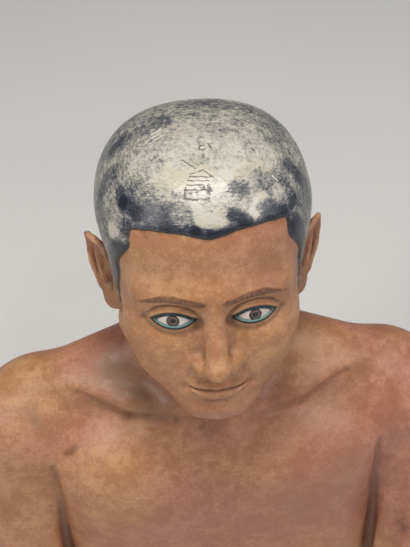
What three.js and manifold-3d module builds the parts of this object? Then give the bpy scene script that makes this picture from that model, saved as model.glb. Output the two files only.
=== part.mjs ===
// Bust of a seated scribe: head with a close hair cap, neck, shoulders, upper chest and the upper
// arms, cut flat below. One block of painted limestone, with two inlaid eyes that are each a copper
// rim, a white stone almond and a rock crystal disc. Lengths are in millimetres, +Z is up, the
// statue looks along -Y, and the origin is the middle of the flat underside.
import * as THREE from 'three';
import { mergeVertices } from 'three/addons/utils/BufferGeometryUtils.js';
import Module from 'manifold-3d';

const wasm = await Module();
wasm.setup();

// Driving dimensions.
const HEAD_HEIGHT = 132;
const UNDERSIDE_BELOW_EYES = 220.5;
const HAIR_STEP = 1.3;
const ARM_WEB_THICKNESS = 52;
const EYE_HALF_WIDTH = 10.4;
const EYE_UPPER_HEIGHT = 5.1;
const EYE_LOWER_HEIGHT = 4.1;
const EYE_BULGE_RADIUS = 20;
const SOCKET_DEPTH = 3.4;
const FIT_GAP = 0.3;
const RIM_WIDTH = 1.4;
const RIM_PROUD = 0.3;
const CRYSTAL_RADIUS = 2.75;
const CRYSTAL_DEPTH = 1.1;
const CRYSTAL_PROUD = 0.2;
const BODY_TRIANGLES = 7400;

// The carving is kept as shares of the head's height: one unit is a hundredth of it.
const UNIT = HEAD_HEIGHT / 100;
const TILT = THREE.MathUtils.degToRad(-9);
const TILT_COS = Math.cos(TILT);
const TILT_SIN = Math.sin(TILT);
const PIVOT_Y = 12;
const PIVOT_Z = -40;
const EYE_X = 14.2;
const EYE_Y = -34.6;
const EYE_Z = -0.5;
const EYE_TURN = THREE.MathUtils.degToRad(11);

// Small helpers for rounded solids that are described by their distance.
function mixMin(a, b, soft) {
  const h = Math.max(soft - Math.abs(a - b), 0) / soft;
  return Math.min(a, b) - h * h * soft * 0.25;
}

function mixMax(a, b, soft) {
  return -mixMin(-a, -b, soft);
}

function bell(t) {
  return Math.exp(-t * t);
}

function ramp(from, to, x) {
  const t = Math.min(Math.max((x - from) / (to - from), 0), 1);
  return t * t * (3 - 2 * t);
}

function clamp01(t) {
  return Math.min(Math.max(t, 0), 1);
}

function egg(x, y, z, cx, cy, cz, rx, ry, rz) {
  const u = (x - cx) / rx;
  const v = (y - cy) / ry;
  const w = (z - cz) / rz;
  const near = Math.sqrt(u * u + v * v + w * w) + 1e-6;
  const slope = Math.sqrt((u / rx) ** 2 + (v / ry) ** 2 + (w / rz) ** 2) + 1e-9;
  return near * (near - 1) / slope;
}

// A block between an egg and a box: one exponent for its plan, one for its upright sections.
function dome(x, y, z, cx, cy, cz, rx, ry, rz, planPower, uprightPower) {
  const u = Math.abs(x - cx);
  const v = Math.abs(y - cy);
  const w = Math.abs(z - cz);
  const plan = (u / rx) ** planPower + (v / ry) ** planPower + 1e-9;
  const all = plan ** (uprightPower / planPower) + (w / rz) ** uprightPower + 1e-9;
  return Math.sqrt(u * u + v * v + w * w) * (1 - all ** (-1 / uprightPower));
}

function limb(x, y, z, ax, ay, az, bx, by, bz, radiusA, radiusB) {
  const dx = bx - ax;
  const dy = by - ay;
  const dz = bz - az;
  const t = clamp01(((x - ax) * dx + (y - ay) * dy + (z - az) * dz) / (dx * dx + dy * dy + dz * dz));
  return Math.hypot(x - ax - dx * t, y - ay - dy * t, z - az - dz * t) - radiusA - (radiusB - radiusA) * t;
}

// The eye's outline is an almond of two arcs; grow moves both arcs outward.
function almondArcs(grow) {
  const half = EYE_HALF_WIDTH;
  const upper = (half * half + EYE_UPPER_HEIGHT ** 2) / (2 * EYE_UPPER_HEIGHT);
  const lower = (half * half + EYE_LOWER_HEIGHT ** 2) / (2 * EYE_LOWER_HEIGHT);
  return {
    upperCentre: EYE_UPPER_HEIGHT - upper,
    upperRadius: upper + grow,
    lowerCentre: lower - EYE_LOWER_HEIGHT,
    lowerRadius: lower + grow,
  };
}

const ARCS = almondArcs(0);

function almondDistance(u, v) {
  const top = Math.hypot(u, v - ARCS.upperCentre) - ARCS.upperRadius;
  const low = Math.hypot(u, v - ARCS.lowerCentre) - ARCS.lowerRadius;
  return Math.max(top, low);
}

// Positive inside the hair cap: a low dip in the middle of the forehead, square corners at the
// temples, a short pointed sideburn in front of each ear and a straight edge on the nape.
function hairDepth(x, y, z) {
  const brow = z - 34.3 + 2.3 * bell(x / 7) + 1.2 * ramp(18, 27, x);
  const upperFront = -26 + 7 * ramp(27, 13, z) + 0.8 * ramp(27, 33, z);
  const front = upperFront + 7 * ramp(14, -4, z);
  const below = -7.5 - 21.5 * ramp(3, 19, y);
  return Math.max(brow, Math.min(y - front, z - below));
}

function relief(x, y, z) {
  const m = clamp01(1 - (x / 11.2) ** 2);
  const line = -29.2 + 0.7 * (1 - m) ** 1.5 - 0.25 * bell(x / 2.6);
  const upperHeight = 0.7 + 3.2 * m ** 0.9 - 0.45 * bell(x / 1.5);
  const lowerHeight = 0.7 + 3.9 * clamp01(1 - (x / 10.2) ** 2) ** 0.8;
  const upperLip = 1.05 * bell(((z - line) / upperHeight - 0.5) / 0.42);
  const lowerLip = 1.3 * bell(((line - z) / lowerHeight - 0.48) / 0.42);
  const lips = m ** 0.6 * (upperLip + lowerLip);
  const parting = -0.9 * bell((z - line) / 0.62) * ramp(0, 0.25, m);
  const corner = -0.8 * bell((x - 11.4) / 2) * bell((z + 28.6) / 2.2);
  const channel = -0.4 * bell(x / 1.7) * ramp(-20.5, -22.5, z) * ramp(-27, -25, z);
  const chinFold = -1.3 * bell((z + 36) / 2.4) * bell(x / 8.5);
  const browLine = 8.2 + 1.9 * bell((x - 15) / 9) - 0.045 * Math.max(x - 17, 0) ** 1.6;
  const browRidge = 0.45 * bell((z - browLine) / 1.2) * ramp(2.5, 6, x) * ramp(27, 22, x);
  const cheekFold = -0.35 * bell((x - 2.72 + 0.32 * z) / 1.9) * ramp(-17, -21, z) * ramp(-29, -25, z);
  return ramp(-12, -22, y) * (lips + parting + corner + channel + chinFold + browRidge + cheekFold);
}

function eyelids(x, y, z, skin) {
  const dx = x - EYE_X;
  const dy = y - EYE_Y;
  const u = dx * Math.cos(EYE_TURN) + dy * Math.sin(EYE_TURN);
  const v = z - EYE_Z;
  const w = dx * Math.sin(EYE_TURN) - dy * Math.cos(EYE_TURN);
  const near = ramp(-12, -6, w);
  if (near === 0) return skin;
  const outside = almondDistance(u * UNIT, v * UNIT) / UNIT;
  const bulge = EYE_BULGE_RADIUS / UNIT;
  const ball = Math.hypot(u, v * 0.9, w + bulge) - bulge;
  const blend = ramp(4.2, 0.6, outside) * near;
  const lid = 0.9 * bell((outside - 1.1) / 1.25) * ramp(-1.6, 1.2, v - 0.02 * u * u);
  const edge = 0.25 * bell((outside - 0.9) / 1.1);
  const crease = -0.75 * bell((outside - 3.4) / 0.75) * ramp(0.5, 3, v) * ramp(8.5, 5, Math.abs(u));
  return skin * (1 - blend) + ball * blend - (lid + edge + crease) * near;
}

function head(x, y, z) {
  // The skull draws in beside the ears.
  const wide = x * (1 + 0.13 * ramp(30, -2, z));
  let d = dome(wide, y, z, 0, 6.5, 16.5, 38.3, 42.2, 35.8, 2.4, 2.65);
  d = mixMin(d, dome(x, y, z, 0, -5, -9, 30.4, 31.5, 38.5, 2.2, 2.1), 9);
  d = mixMin(d, limb(x, y, z, 8, -23, -39.5, 25.5, 0, -24, 6.5, 7.5), 12);
  d = mixMin(d, limb(x, y, z, 0, -29.5, -41, 4.5, -28.8, -40.8, 7.6, 7), 8);
  d = mixMin(d, egg(x, y, z, 21, -21.5, -9.5, 8.5, 8.5, 8), 10);
  d = mixMin(d, egg(x, y, z, 17, -24, -20, 9, 8, 11), 10);
  d = mixMin(d, egg(x, y, z, 0, -25.5, -29, 14, 11.6, 11), 10);
  d = mixMin(d, limb(x, y, z, 3, -34, 8.5, 22, -27.5, 8, 3.4, 3.6), 9);
  d = mixMax(d, -egg(x, y, z, 12.5, -43, -0.8, 10.5, 8.2, 6.6), 8);
  d = eyelids(x, y, z, d);
  let nose = limb(x, y, z, 0, -34.6, 4.5, 0, -40.8, -14, 3, 3.9);
  nose = mixMin(nose, egg(x, y, z, 0, -42.2, -16.8, 4.9, 5, 4.3), 3);
  nose = mixMin(nose, egg(x, y, z, 5.1, -38, -18, 3, 4.4, 3.5), 1.8);
  d = mixMin(d, nose, 4.5);
  d = mixMax(d, -egg(x, y, z, 2.9, -40.6, -21.6, 1.5, 2.6, 1.6), 1.2);
  return d - relief(x, y, z);
}

// The ear's own directions: along the blade to its edge, up the blade, and off its hollow face.
const EAR_LEAN = Math.sin(THREE.MathUtils.degToRad(12));
const EAR_FLARE = THREE.MathUtils.degToRad(46);
const EAR_UP = new THREE.Vector3(EAR_LEAN, EAR_LEAN, 1).normalize();
const EAR_OUT = new THREE.Vector3(Math.sin(EAR_FLARE), Math.cos(EAR_FLARE), 0);
EAR_OUT.addScaledVector(EAR_UP, -EAR_UP.dot(EAR_OUT)).normalize();
const EAR_FACE = new THREE.Vector3().crossVectors(EAR_OUT, EAR_UP);

// The left ear lies a little closer to the head than the right one.
function ear(px, y, z) {
  const dz = z + 2.4;
  const dx = Math.abs(px) - (px > 0 ? 34.1 + 0.05 * dz : 35);
  const dy = y - 1;
  const u = dx * EAR_OUT.x + dy * EAR_OUT.y + dz * EAR_OUT.z;
  const v = dx * EAR_UP.x + dy * EAR_UP.y + dz * EAR_UP.z;
  const root = dx * EAR_FACE.x + dy * EAR_FACE.y + dz * EAR_FACE.z;
  // The lobe bends outward.
  const n = root - 0.02 * Math.min(v + 2, 0) ** 2;
  // The blade grows thin and narrow towards its tip and leans outward there.
  const thin = ramp(3, 13, v);
  const above = Math.max(v - 3, 0) ** 2;
  const across = (u - 1.6 - 0.06 * v - 0.018 * above) * (1 + 0.0034 * above);
  const upper = (Math.hypot(across / 6.3, (v - 4) / 12.6) - 1) * 8;
  const lobe = (Math.hypot((u - 0.8) / 6.2, (v + 8.2) / 5) - 1) * 5.4;
  const outline = mixMin(upper, lobe, 6);
  let blade = mixMax(outline, Math.abs(n + 1.4 - 1.5 * thin - 0.06 * u) - 1.7 + 0.7 * thin, 1.5);
  blade = mixMin(blade, limb(u, v, root, -3.2, 10, -1.8, -2.6, -10, -0.8, 2.4, 3.2), 2);
  const edge = Math.hypot(outline + 1.4, n - 1.1 + 0.4 * thin) - 1.6 + 0.35 * thin;
  const rim = mixMax(edge, -(v + 8), 5);
  const innerLine = (Math.hypot(u - 1, (v - 1.6) / 2.7) / 3.2 - 1) * 4.6;
  const innerRidge = mixMax(Math.hypot(innerLine, n - 0.6) - 1.15, -(v + 6), 2);
  let d = mixMin(mixMin(blade, rim, 1.2), innerRidge, 1.2);
  d = mixMax(d, -egg(u, v, n, -0.4, -2.6, 1.2, 2.6, 4.8, 2.6), 1.2);
  d = mixMin(d, egg(u, v, n, -3.6, -4.4, 1, 2.2, 3, 2), 1.4);
  return mixMin(d, egg(u, v, n, 0.6, -9.2, 0, 5.2, 4.2, 2.2), 2);
}

function neck(x, y, z) {
  const column = limb(x, y, z, 0, 13, -18, 0, 17, -70, 21, 23.5);
  return mixMin(column, limb(x, y, z, 19, 8, -26, 6, -11, -70, 3.2, 3.6), 9);
}

function collarbone(x, y, z) {
  const inner = limb(x, y, z, 7, -10.2, -66, 34, -4.6, -61, 2.6, 2.8);
  return mixMin(inner, limb(x, y, z, 34, -4.6, -61, 60, 6, -57.5, 2.8, 1.6), 3);
}

function lineUnderCollarbone(x, y, z) {
  const inner = limb(x, y, z, 13, -14.2, -64.6, 35, -9.8, -65.2, 1.3, 1.7);
  return Math.min(inner, limb(x, y, z, 35, -9.8, -65.2, 54, 0, -58.8, 1.7, 0.8));
}

function foldAtArm(x, y, z) {
  const upper = limb(x, y, z, 67, -13.5, -88, 66.3, -16, -112, 0.8, 2.4);
  return Math.min(upper, limb(x, y, z, 66.3, -16, -112, 65.4, -17.5, -190, 2.4, 2.8));
}

function torso(x, y, z) {
  let d = dome(x, y, z, 0, 10, -142, 66.5, 38, 80, 4.4, 2.4);
  d = mixMin(d, dome(x, y, z, 0, 14, -86, 78, 25, 27, 2.3, 2.1), 18);
  d = mixMin(d, limb(x, y, z, 6, 18, -48, 68, 15, -70.5, 15, 12.5), 16);
  d = mixMin(d, egg(x, y, z, 30, -9, -102, 35, 17, 25), 14);
  d = mixMin(d, egg(x, y, z, 76.5, 11, -86.5, 24, 24, 26), 14);
  d = mixMin(d, collarbone(x, y, z), 9);
  d = mixMax(d, -lineUnderCollarbone(x, y, z), 3);
  d = mixMax(d, -egg(x, y, z, 0, -23, -70, 6, 7, 5), 6);
  d = mixMax(d, -limb(x, y, z, 14, -23, -60, 42, -14, -54, 3, 3), 9);
  d = mixMin(d, egg(x, y, z, 36, 36, -96, 22, 9, 27), 16);
  d = mixMax(d, -limb(x, y, z, 0, 53, -70, 0, 53, -200, 5, 5), 12);
  // The arm lies close to the side; the stone left between them stands back from both.
  const web = ARM_WEB_THICKNESS / UNIT / 2;
  d = mixMin(d, limb(x, y, z, 81, 8.5, -91, 85.5, -22.5, -190, 20, 18.4), 2);
  d = mixMin(d, dome(x, y, z, 69, 3, -190, 17, web, 100, 4, 4), 2);
  return mixMax(d, -foldAtArm(x, y, z), 2.5);
}

// The whole carving as one distance, in units, in the upright frame with its zero at the eye line.
function carving(px, y, z) {
  const x = Math.abs(px);
  let d = neck(x, y, z);
  if (z > -78) {
    const dy = y - PIVOT_Y;
    const dz = z - PIVOT_Z;
    const hy = TILT_COS * dy + TILT_SIN * dz + PIVOT_Y;
    const hz = TILT_COS * dz - TILT_SIN * dy + PIVOT_Z;
    d = mixMin(d, head(x, hy, hz), 7);
    d -= HAIR_STEP / UNIT * ramp(-0.5, 0.5, hairDepth(x, hy, hz));
    if (x > 24) d = mixMin(d, ear(px, hy, hz), 1.6);
  }
  if (z < -8) d = mixMin(d, torso(x, y, z), 12);
  return d;
}

function spread(...spans) {
  const points = [spans[0][0]];
  for (const [from, to, step] of spans) {
    const count = Math.max(1, Math.round((to - from) / step));
    for (let i = 1; i <= count; i += 1) points.push(from + (to - from) * i / count);
  }
  return points;
}

// The edges of a grid cell, four along each axis, and the corner pairs that they join.
const SQUARE = [[0, 0], [1, 0], [1, 1], [0, 1]];

function cellCorner(axis, along, p, q) {
  const corner = [0, 0, 0];
  corner[axis] = along;
  corner[(axis + 1) % 3] = p;
  corner[(axis + 2) % 3] = q;
  return corner;
}

function edgeBetween(a, b) {
  const axis = a.findIndex((value, i) => value !== b[i]);
  return axis * 4 + a[(axis + 1) % 3] + 2 * a[(axis + 2) % 3];
}

const CELL_EDGES = [0, 1, 2].flatMap((axis) => [[0, 0], [1, 0], [0, 1], [1, 1]].map(([p, q]) => (
  [cellCorner(axis, 0, p, q), cellCorner(axis, 1, p, q)]
)));

const CELL_SIDES = [0, 1, 2].flatMap((axis) => [0, 1].map((along) => {
  const corners = SQUARE.map(([p, q]) => cellCorner(axis, along, p, q));
  return { corners, edges: corners.map((corner, i) => edgeBetween(corner, corners[(i + 1) % 4])) };
}));

// Sorts the crossed edges of a cell into the separate sheets that pass through it.
function sheetsOf(crossed, insideAt) {
  const owner = crossed.map((hit, e) => (hit ? e : -1));
  const join = (a, b) => {
    const [keep, drop] = [owner[a], owner[b]];
    owner.forEach((value, e) => {
      if (value === drop) owner[e] = keep;
    });
  };
  for (const { corners, edges } of CELL_SIDES) {
    const hits = edges.filter((e) => crossed[e]);
    if (hits.length === 2) join(hits[0], hits[1]);
    if (hits.length < 4) continue;
    corners.forEach((corner, i) => {
      if (insideAt(corner)) join(edges[(i + 3) % 4], edges[i]);
    });
  }
  return owner;
}

// Wraps the zero level of a distance in a closed skin, one point for each sheet in a grid cell.
function wrap(distance, xs, ys, zs) {
  const ny = ys.length;
  const nz = zs.length;
  const at = (i, j, k) => (i * ny + j) * nz + k;
  const value = new Float32Array(xs.length * ny * nz);
  xs.forEach((x, i) => ys.forEach((y, j) => zs.forEach((z, k) => {
    value[at(i, j, k)] = distance(x, y, z);
  })));
  const pointOf = new Map();
  const points = [];
  const addCell = (i, j, k) => {
    const valueAt = ([a, b, c]) => value[at(i + a, j + b, k + c)];
    const crossed = CELL_EDGES.map(([a, b]) => (valueAt(a) < 0) !== (valueAt(b) < 0));
    const owner = sheetsOf(crossed, (corner) => valueAt(corner) < 0);
    const first = new Map();
    owner.forEach((sheet, e) => {
      if (sheet < 0) return;
      if (!first.has(sheet)) {
        first.set(sheet, { index: points.length, hits: 0 });
        points.push(new THREE.Vector3());
      }
      const entry = first.get(sheet);
      const [p, q] = CELL_EDGES[e];
      const t = valueAt(p) / (valueAt(p) - valueAt(q));
      const sum = points[entry.index];
      sum.x += THREE.MathUtils.lerp(xs[i + p[0]], xs[i + q[0]], t);
      sum.y += THREE.MathUtils.lerp(ys[j + p[1]], ys[j + q[1]], t);
      sum.z += THREE.MathUtils.lerp(zs[k + p[2]], zs[k + q[2]], t);
      entry.hits += 1;
      pointOf.set(at(i, j, k) * 12 + e, entry.index);
    });
    for (const { index, hits } of first.values()) points[index].divideScalar(hits);
  };
  const bits = new Uint8Array(value.length);
  value.forEach((d, i) => {
    bits[i] = d < 0 ? 1 : 0;
  });
  for (let i = 0; i < xs.length - 1; i += 1) {
    for (let j = 0; j < ny - 1; j += 1) {
      for (let k = 0; k < nz - 1; k += 1) {
        const o = at(i, j, k);
        const back = bits[o] + bits[o + 1] + bits[o + nz] + bits[o + nz + 1];
        const p = o + ny * nz;
        const front = bits[p] + bits[p + 1] + bits[p + nz] + bits[p + nz + 1];
        if (back + front > 0 && back + front < 8) addCell(i, j, k);
      }
    }
  }
  const faces = [];
  const addQuad = (axis, i, j, k, flip) => {
    const ring = SQUARE.map(([p, q]) => {
      const cell = [i, j, k];
      cell[(axis + 1) % 3] += p - 1;
      cell[(axis + 2) % 3] += q - 1;
      return pointOf.get(at(...cell) * 12 + axis * 4 + (1 - p) + 2 * (1 - q));
    });
    const [p, q, r, s] = ring;
    const short = points[p].distanceTo(points[r]) <= points[q].distanceTo(points[s]);
    const pair = short ? [[p, q, r], [p, r, s]] : [[p, q, s], [q, r, s]];
    for (const [l, m, n] of pair) faces.push(flip ? [l, n, m] : [l, m, n]);
  };
  for (let i = 1; i < xs.length - 1; i += 1) {
    for (let j = 1; j < ny - 1; j += 1) {
      for (let k = 1; k < nz - 1; k += 1) {
        const o = at(i, j, k);
        const inside = bits[o] === 1;
        if (bits[o + ny * nz] !== bits[o]) addQuad(0, i, j, k, !inside);
        if (bits[o + nz] !== bits[o]) addQuad(1, i, j, k, !inside);
        if (bits[o + 1] !== bits[o]) addQuad(2, i, j, k, !inside);
      }
    }
  }
  return { points, faces };
}

// A heap that gives back the cheapest entry first.
class Queue {
  constructor() {
    this.items = [];
  }

  push(item) {
    const { items } = this;
    let i = items.push(item) - 1;
    while (i > 0) {
      const up = (i - 1) >> 1;
      if (items[up].cost <= items[i].cost) break;
      [items[up], items[i]] = [items[i], items[up]];
      i = up;
    }
  }

  pop() {
    const { items } = this;
    const top = items[0];
    const last = items.pop();
    if (items.length === 0) return top;
    items[0] = last;
    let i = 0;
    for (;;) {
      let next = 2 * i + 1;
      if (next >= items.length) break;
      if (next + 1 < items.length && items[next + 1].cost < items[next].cost) next += 1;
      if (items[i].cost <= items[next].cost) break;
      [items[next], items[i]] = [items[i], items[next]];
      i = next;
    }
    return top;
  }
}

// Merges the edges that matter least to the shape until only the wanted number of facets is left.
function thinOut({ points, faces }, wanted, care) {
  const rings = points.map(() => new Set());
  const errors = points.map(() => new Float64Array(10));
  const stamp = new Int32Array(points.length);
  const normal = new THREE.Vector3();
  const side = new THREE.Vector3();
  const facing = (a, b, c, out) => {
    out.subVectors(b, a);
    side.subVectors(c, a);
    return out.cross(side);
  };
  faces.forEach((face, f) => {
    const [a, b, c] = face.map((i) => points[i]);
    facing(a, b, c, normal);
    const area = normal.length() + 1e-12;
    normal.divideScalar(area);
    const d = -normal.dot(a);
    const weight = area * care(a);
    const { x, y, z } = normal;
    const terms = [x * x, x * y, x * z, x * d, y * y, y * z, y * d, z * z, z * d, d * d];
    for (const i of face) {
      rings[i].add(f);
      terms.forEach((term, t) => {
        errors[i][t] += term * weight;
      });
    }
  });
  const errorAt = (q, p) => q[0] * p.x * p.x + 2 * q[1] * p.x * p.y + 2 * q[2] * p.x * p.z + 2 * q[3] * p.x
    + q[4] * p.y * p.y + 2 * q[5] * p.y * p.z + 2 * q[6] * p.y + q[7] * p.z * p.z + 2 * q[8] * p.z + q[9];
  const matrix = new THREE.Matrix3();
  const place = (a, b) => {
    const q = errors[a].map((value, i) => value + errors[b][i]);
    const middle = points[a].clone().add(points[b]).multiplyScalar(0.5);
    const pull = (q[0] + q[4] + q[7]) * 0.002 + 1e-9;
    matrix.set(q[0] + pull, q[1], q[2], q[1], q[4] + pull, q[5], q[2], q[5], q[7] + pull);
    const best = new THREE.Vector3(pull * middle.x - q[3], pull * middle.y - q[6], pull * middle.z - q[8]);
    best.applyMatrix3(matrix.invert());
    const length = points[a].distanceTo(points[b]);
    if (!(best.distanceTo(middle) < length)) best.copy(middle);
    return { spot: best, cost: errorAt(q, best) + pull * best.distanceToSquared(middle) + 1e-7 * length };
  };
  const queue = new Queue();
  const offer = (a, b) => {
    queue.push({ cost: place(a, b).cost, a, b, sa: stamp[a], sb: stamp[b] });
  };
  const neighbours = (a) => {
    const found = new Set();
    for (const f of rings[a]) faces[f].forEach((i) => found.add(i));
    found.delete(a);
    return found;
  };
  for (const [a, b, c] of faces) {
    if (a < b) offer(a, b);
    if (b < c) offer(b, c);
    if (c < a) offer(c, a);
  }
  const before = new THREE.Vector3();
  const after = new THREE.Vector3();
  const turnsOver = (moved, kept, spot) => {
    for (const f of rings[moved]) {
      if (faces[f].includes(kept)) continue;
      const corners = faces[f].map((i) => points[i]);
      facing(...corners, before);
      const replaced = faces[f].map((i) => (i === moved ? spot : points[i]));
      facing(...replaced, after);
      const lengths = replaced.map((p, i) => p.distanceTo(replaced[(i + 1) % 3]));
      if (after.length() < 0.12 * Math.max(...lengths) ** 2) return true;
      if (before.dot(after) < 0.55 * before.length() * after.length()) return true;
    }
    return false;
  };
  let left = faces.length;
  while (left > wanted && queue.items.length > 0) {
    const { a, b, sa, sb } = queue.pop();
    if (stamp[a] !== sa || stamp[b] !== sb) continue;
    const around = neighbours(b);
    const shared = [...neighbours(a)].filter((i) => around.has(i));
    if (shared.length !== 2) continue;
    const { spot } = place(a, b);
    if (turnsOver(a, b, spot) || turnsOver(b, a, spot)) continue;
    points[a].copy(spot);
    for (const f of [...rings[b]]) {
      if (faces[f].includes(a)) {
        faces[f].forEach((i) => rings[i].delete(f));
        faces[f] = null;
        left -= 1;
      } else {
        faces[f] = faces[f].map((i) => (i === b ? a : i));
        rings[a].add(f);
      }
    }
    rings[b].clear();
    errors[a] = errors[a].map((value, i) => value + errors[b][i]);
    stamp[a] += 1;
    stamp[b] = -1;
    for (const i of neighbours(a)) offer(a, i);
  }
  return { points, faces: faces.filter((face) => face !== null) };
}

function toGeometry({ points, faces }) {
  const geometry = new THREE.BufferGeometry();
  const numbers = points.flatMap((p) => [p.x, p.y, p.z]);
  geometry.setAttribute('position', new THREE.Float32BufferAttribute(numbers, 3));
  geometry.setIndex(faces.flat());
  return geometry;
}

function toSolid(source) {
  const open = source.clone();
  open.deleteAttribute('normal');
  open.deleteAttribute('uv');
  const merged = mergeVertices(open, 1e-5);
  return new wasm.Manifold(new wasm.Mesh({
    numProp: 3,
    vertProperties: new Float32Array(merged.attributes.position.array),
    triVerts: new Uint32Array(merged.index.array),
  }));
}

function fromSolid(solid) {
  const { vertProperties, triVerts } = solid.getMesh();
  const geometry = new THREE.BufferGeometry();
  geometry.setAttribute('position', new THREE.BufferAttribute(new Float32Array(vertProperties), 3));
  geometry.setIndex(new THREE.BufferAttribute(new Uint32Array(triVerts), 1));
  geometry.computeVertexNormals();
  return geometry;
}

// Points around the almond, in the eye's own plane, from the outer corner over the top.
function almondOutline(grow, perSide) {
  const { upperCentre, upperRadius, lowerCentre, lowerRadius } = almondArcs(grow);
  const gap = lowerCentre - upperCentre;
  const rise = (upperRadius ** 2 - lowerRadius ** 2 + gap * gap) / (2 * gap);
  const cornerV = upperCentre + rise;
  const cornerU = Math.sqrt(upperRadius ** 2 - rise ** 2);
  const upperEdge = Math.atan2(cornerV - upperCentre, cornerU);
  const lowerEdge = Math.atan2(cornerV - lowerCentre, -cornerU);
  const points = [];
  for (let i = 0; i < perSide; i += 1) {
    const angle = THREE.MathUtils.lerp(upperEdge, Math.PI - upperEdge, i / perSide);
    points.push(new THREE.Vector2(Math.cos(angle), Math.sin(angle)).multiplyScalar(upperRadius));
    points.at(-1).y += upperCentre;
  }
  for (let i = 0; i < perSide; i += 1) {
    const angle = THREE.MathUtils.lerp(lowerEdge, -Math.PI - lowerEdge, i / perSide);
    points.push(new THREE.Vector2(Math.cos(angle), Math.sin(angle)).multiplyScalar(lowerRadius));
    points.at(-1).y += lowerCentre;
  }
  return points;
}

// How far the eye's rounded front lies behind its middle.
function bulge(u, v) {
  return Math.sqrt(EYE_BULGE_RADIUS ** 2 - u * u - v * v) - EYE_BULGE_RADIUS;
}

// An almond plate that follows the bulge: full, or a ring when a hole outline is given.
function almondPlate(outline, hole, front, back) {
  const points = [];
  const faces = [];
  const shrunk = (share) => outline.map((p) => p.clone().multiplyScalar(share));
  const rows = hole ? [outline, hole] : [1, 0.72, 0.4].map(shrunk);
  const count = outline.length;
  for (const level of [front, back]) {
    for (const row of rows) {
      for (const p of row) points.push(new THREE.Vector3(p.x, p.y, bulge(p.x, p.y) + level));
    }
  }
  const layer = rows.length * count;
  const strip = (from, to) => {
    for (let i = 0; i < count; i += 1) {
      const next = (i + 1) % count;
      faces.push([from + i, from + next, to + next], [from + i, to + next, to + i]);
    }
  };
  for (let r = 0; r + 1 < rows.length; r += 1) {
    strip(r * count, (r + 1) * count);
    strip(layer + (r + 1) * count, layer + r * count);
  }
  strip(layer, 0);
  if (hole) {
    strip(count, layer + count);
  } else {
    const last = (rows.length - 1) * count;
    for (const [level, start] of [[front, last], [back, layer + last]]) {
      points.push(new THREE.Vector3(0, 0, level));
      for (let i = 0; i < count; i += 1) {
        const pair = [start + i, start + (i + 1) % count];
        if (level === back) pair.reverse();
        faces.push([...pair, points.length - 1]);
      }
    }
  }
  return toGeometry({ points, faces });
}

function disc(radius, front, back) {
  const geometry = new THREE.CylinderGeometry(radius, radius, front - back, 22);
  geometry.rotateX(Math.PI / 2);
  geometry.translate(0, 0.35, (front + back) / 2);
  return geometry;
}

// Turns and moves a shape from the eye's own frame to the statue; side is +1 or -1.
function eyePlacement(side) {
  const y = EYE_Y - PIVOT_Y;
  const z = EYE_Z - PIVOT_Z;
  const place = new THREE.Matrix4().makeTranslation(
    side * EYE_X * UNIT,
    (TILT_COS * y - TILT_SIN * z + PIVOT_Y) * UNIT,
    (TILT_SIN * y + TILT_COS * z + PIVOT_Z) * UNIT + UNDERSIDE_BELOW_EYES,
  );
  place.multiply(new THREE.Matrix4().makeRotationX(TILT));
  place.multiply(new THREE.Matrix4().makeRotationZ(side * EYE_TURN));
  return place.multiply(new THREE.Matrix4().makeRotationX(Math.PI / 2));
}

const stone = new THREE.MeshStandardMaterial({ color: 0x9a6244, roughness: 0.6, metalness: 0 });
const copper = new THREE.MeshStandardMaterial({ color: 0x4c7a75, roughness: 0.5, metalness: 0.5 });
const white = new THREE.MeshStandardMaterial({ color: 0xd8cdbd, roughness: 0.35, metalness: 0 });
const crystal = new THREE.MeshStandardMaterial({ color: 0x2c1f19, roughness: 0.08, metalness: 0 });

const bust = new THREE.Group();

function addPiece(name, geometry, material) {
  const mesh = new THREE.Mesh(geometry, material);
  mesh.name = name;
  bust.add(mesh);
}

// The carved block, with a little spare stone below that the flat cut takes off.
const spare = 6;
const cutLevel = -UNDERSIDE_BELOW_EYES / UNIT;
const shell = (x, y, z) => Math.max(carving(x, y, z), cutLevel - spare - z);
// The face and the ears keep finer facets than the broad forms of the body.
const care = (p) => {
  if (p.z < -45) {
    const nearFold = Math.abs(Math.abs(p.x) - 67) < 8 && p.y < -6;
    const nearBone = p.z > -72 && p.y < 4;
    return nearFold || nearBone ? 4 : 1;
  }
  const nearMiddle = Math.abs(p.x) < 13 && p.y < -26;
  if (nearMiddle && p.z > -28 && p.z < 6) return 24;
  if (p.y < -12) return p.z < 20 ? 9 : 3;
  const nearEar = Math.abs(p.x) > 31 && p.z > -22 && p.z < 24;
  return nearEar ? 5 : 1.5;
};
const rough = wrap(
  shell,
  spread(
    [-114, -76, 4.2],
    [-76, -58, 2],
    [-58, -46, 2.4],
    [-46, -31, 1.4],
    [-31, 31, 1.5],
    [31, 46, 1.4],
    [46, 58, 2.4],
    [58, 76, 2],
    [76, 114, 4.2],
  ),
  spread([-58, -22, 1.5], [-22, -10, 2.2], [-10, 14, 1.5], [14, 64, 3.4]),
  spread([cutLevel - spare - 8, -72, 4], [-72, -42, 2.2], [-42, 18, 1.5], [18, 45, 2.1], [45, 64, 3]),
);
const skin = thinOut(rough, BODY_TRIANGLES, care);
for (const p of skin.points) {
  p.multiplyScalar(UNIT);
  p.z += UNDERSIDE_BELOW_EYES;
}
const below = new THREE.BoxGeometry(400 * UNIT, 400 * UNIT, 100 * UNIT).translate(0, 0, -50 * UNIT);
let block = toSolid(toGeometry(skin)).subtract(toSolid(below));

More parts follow.
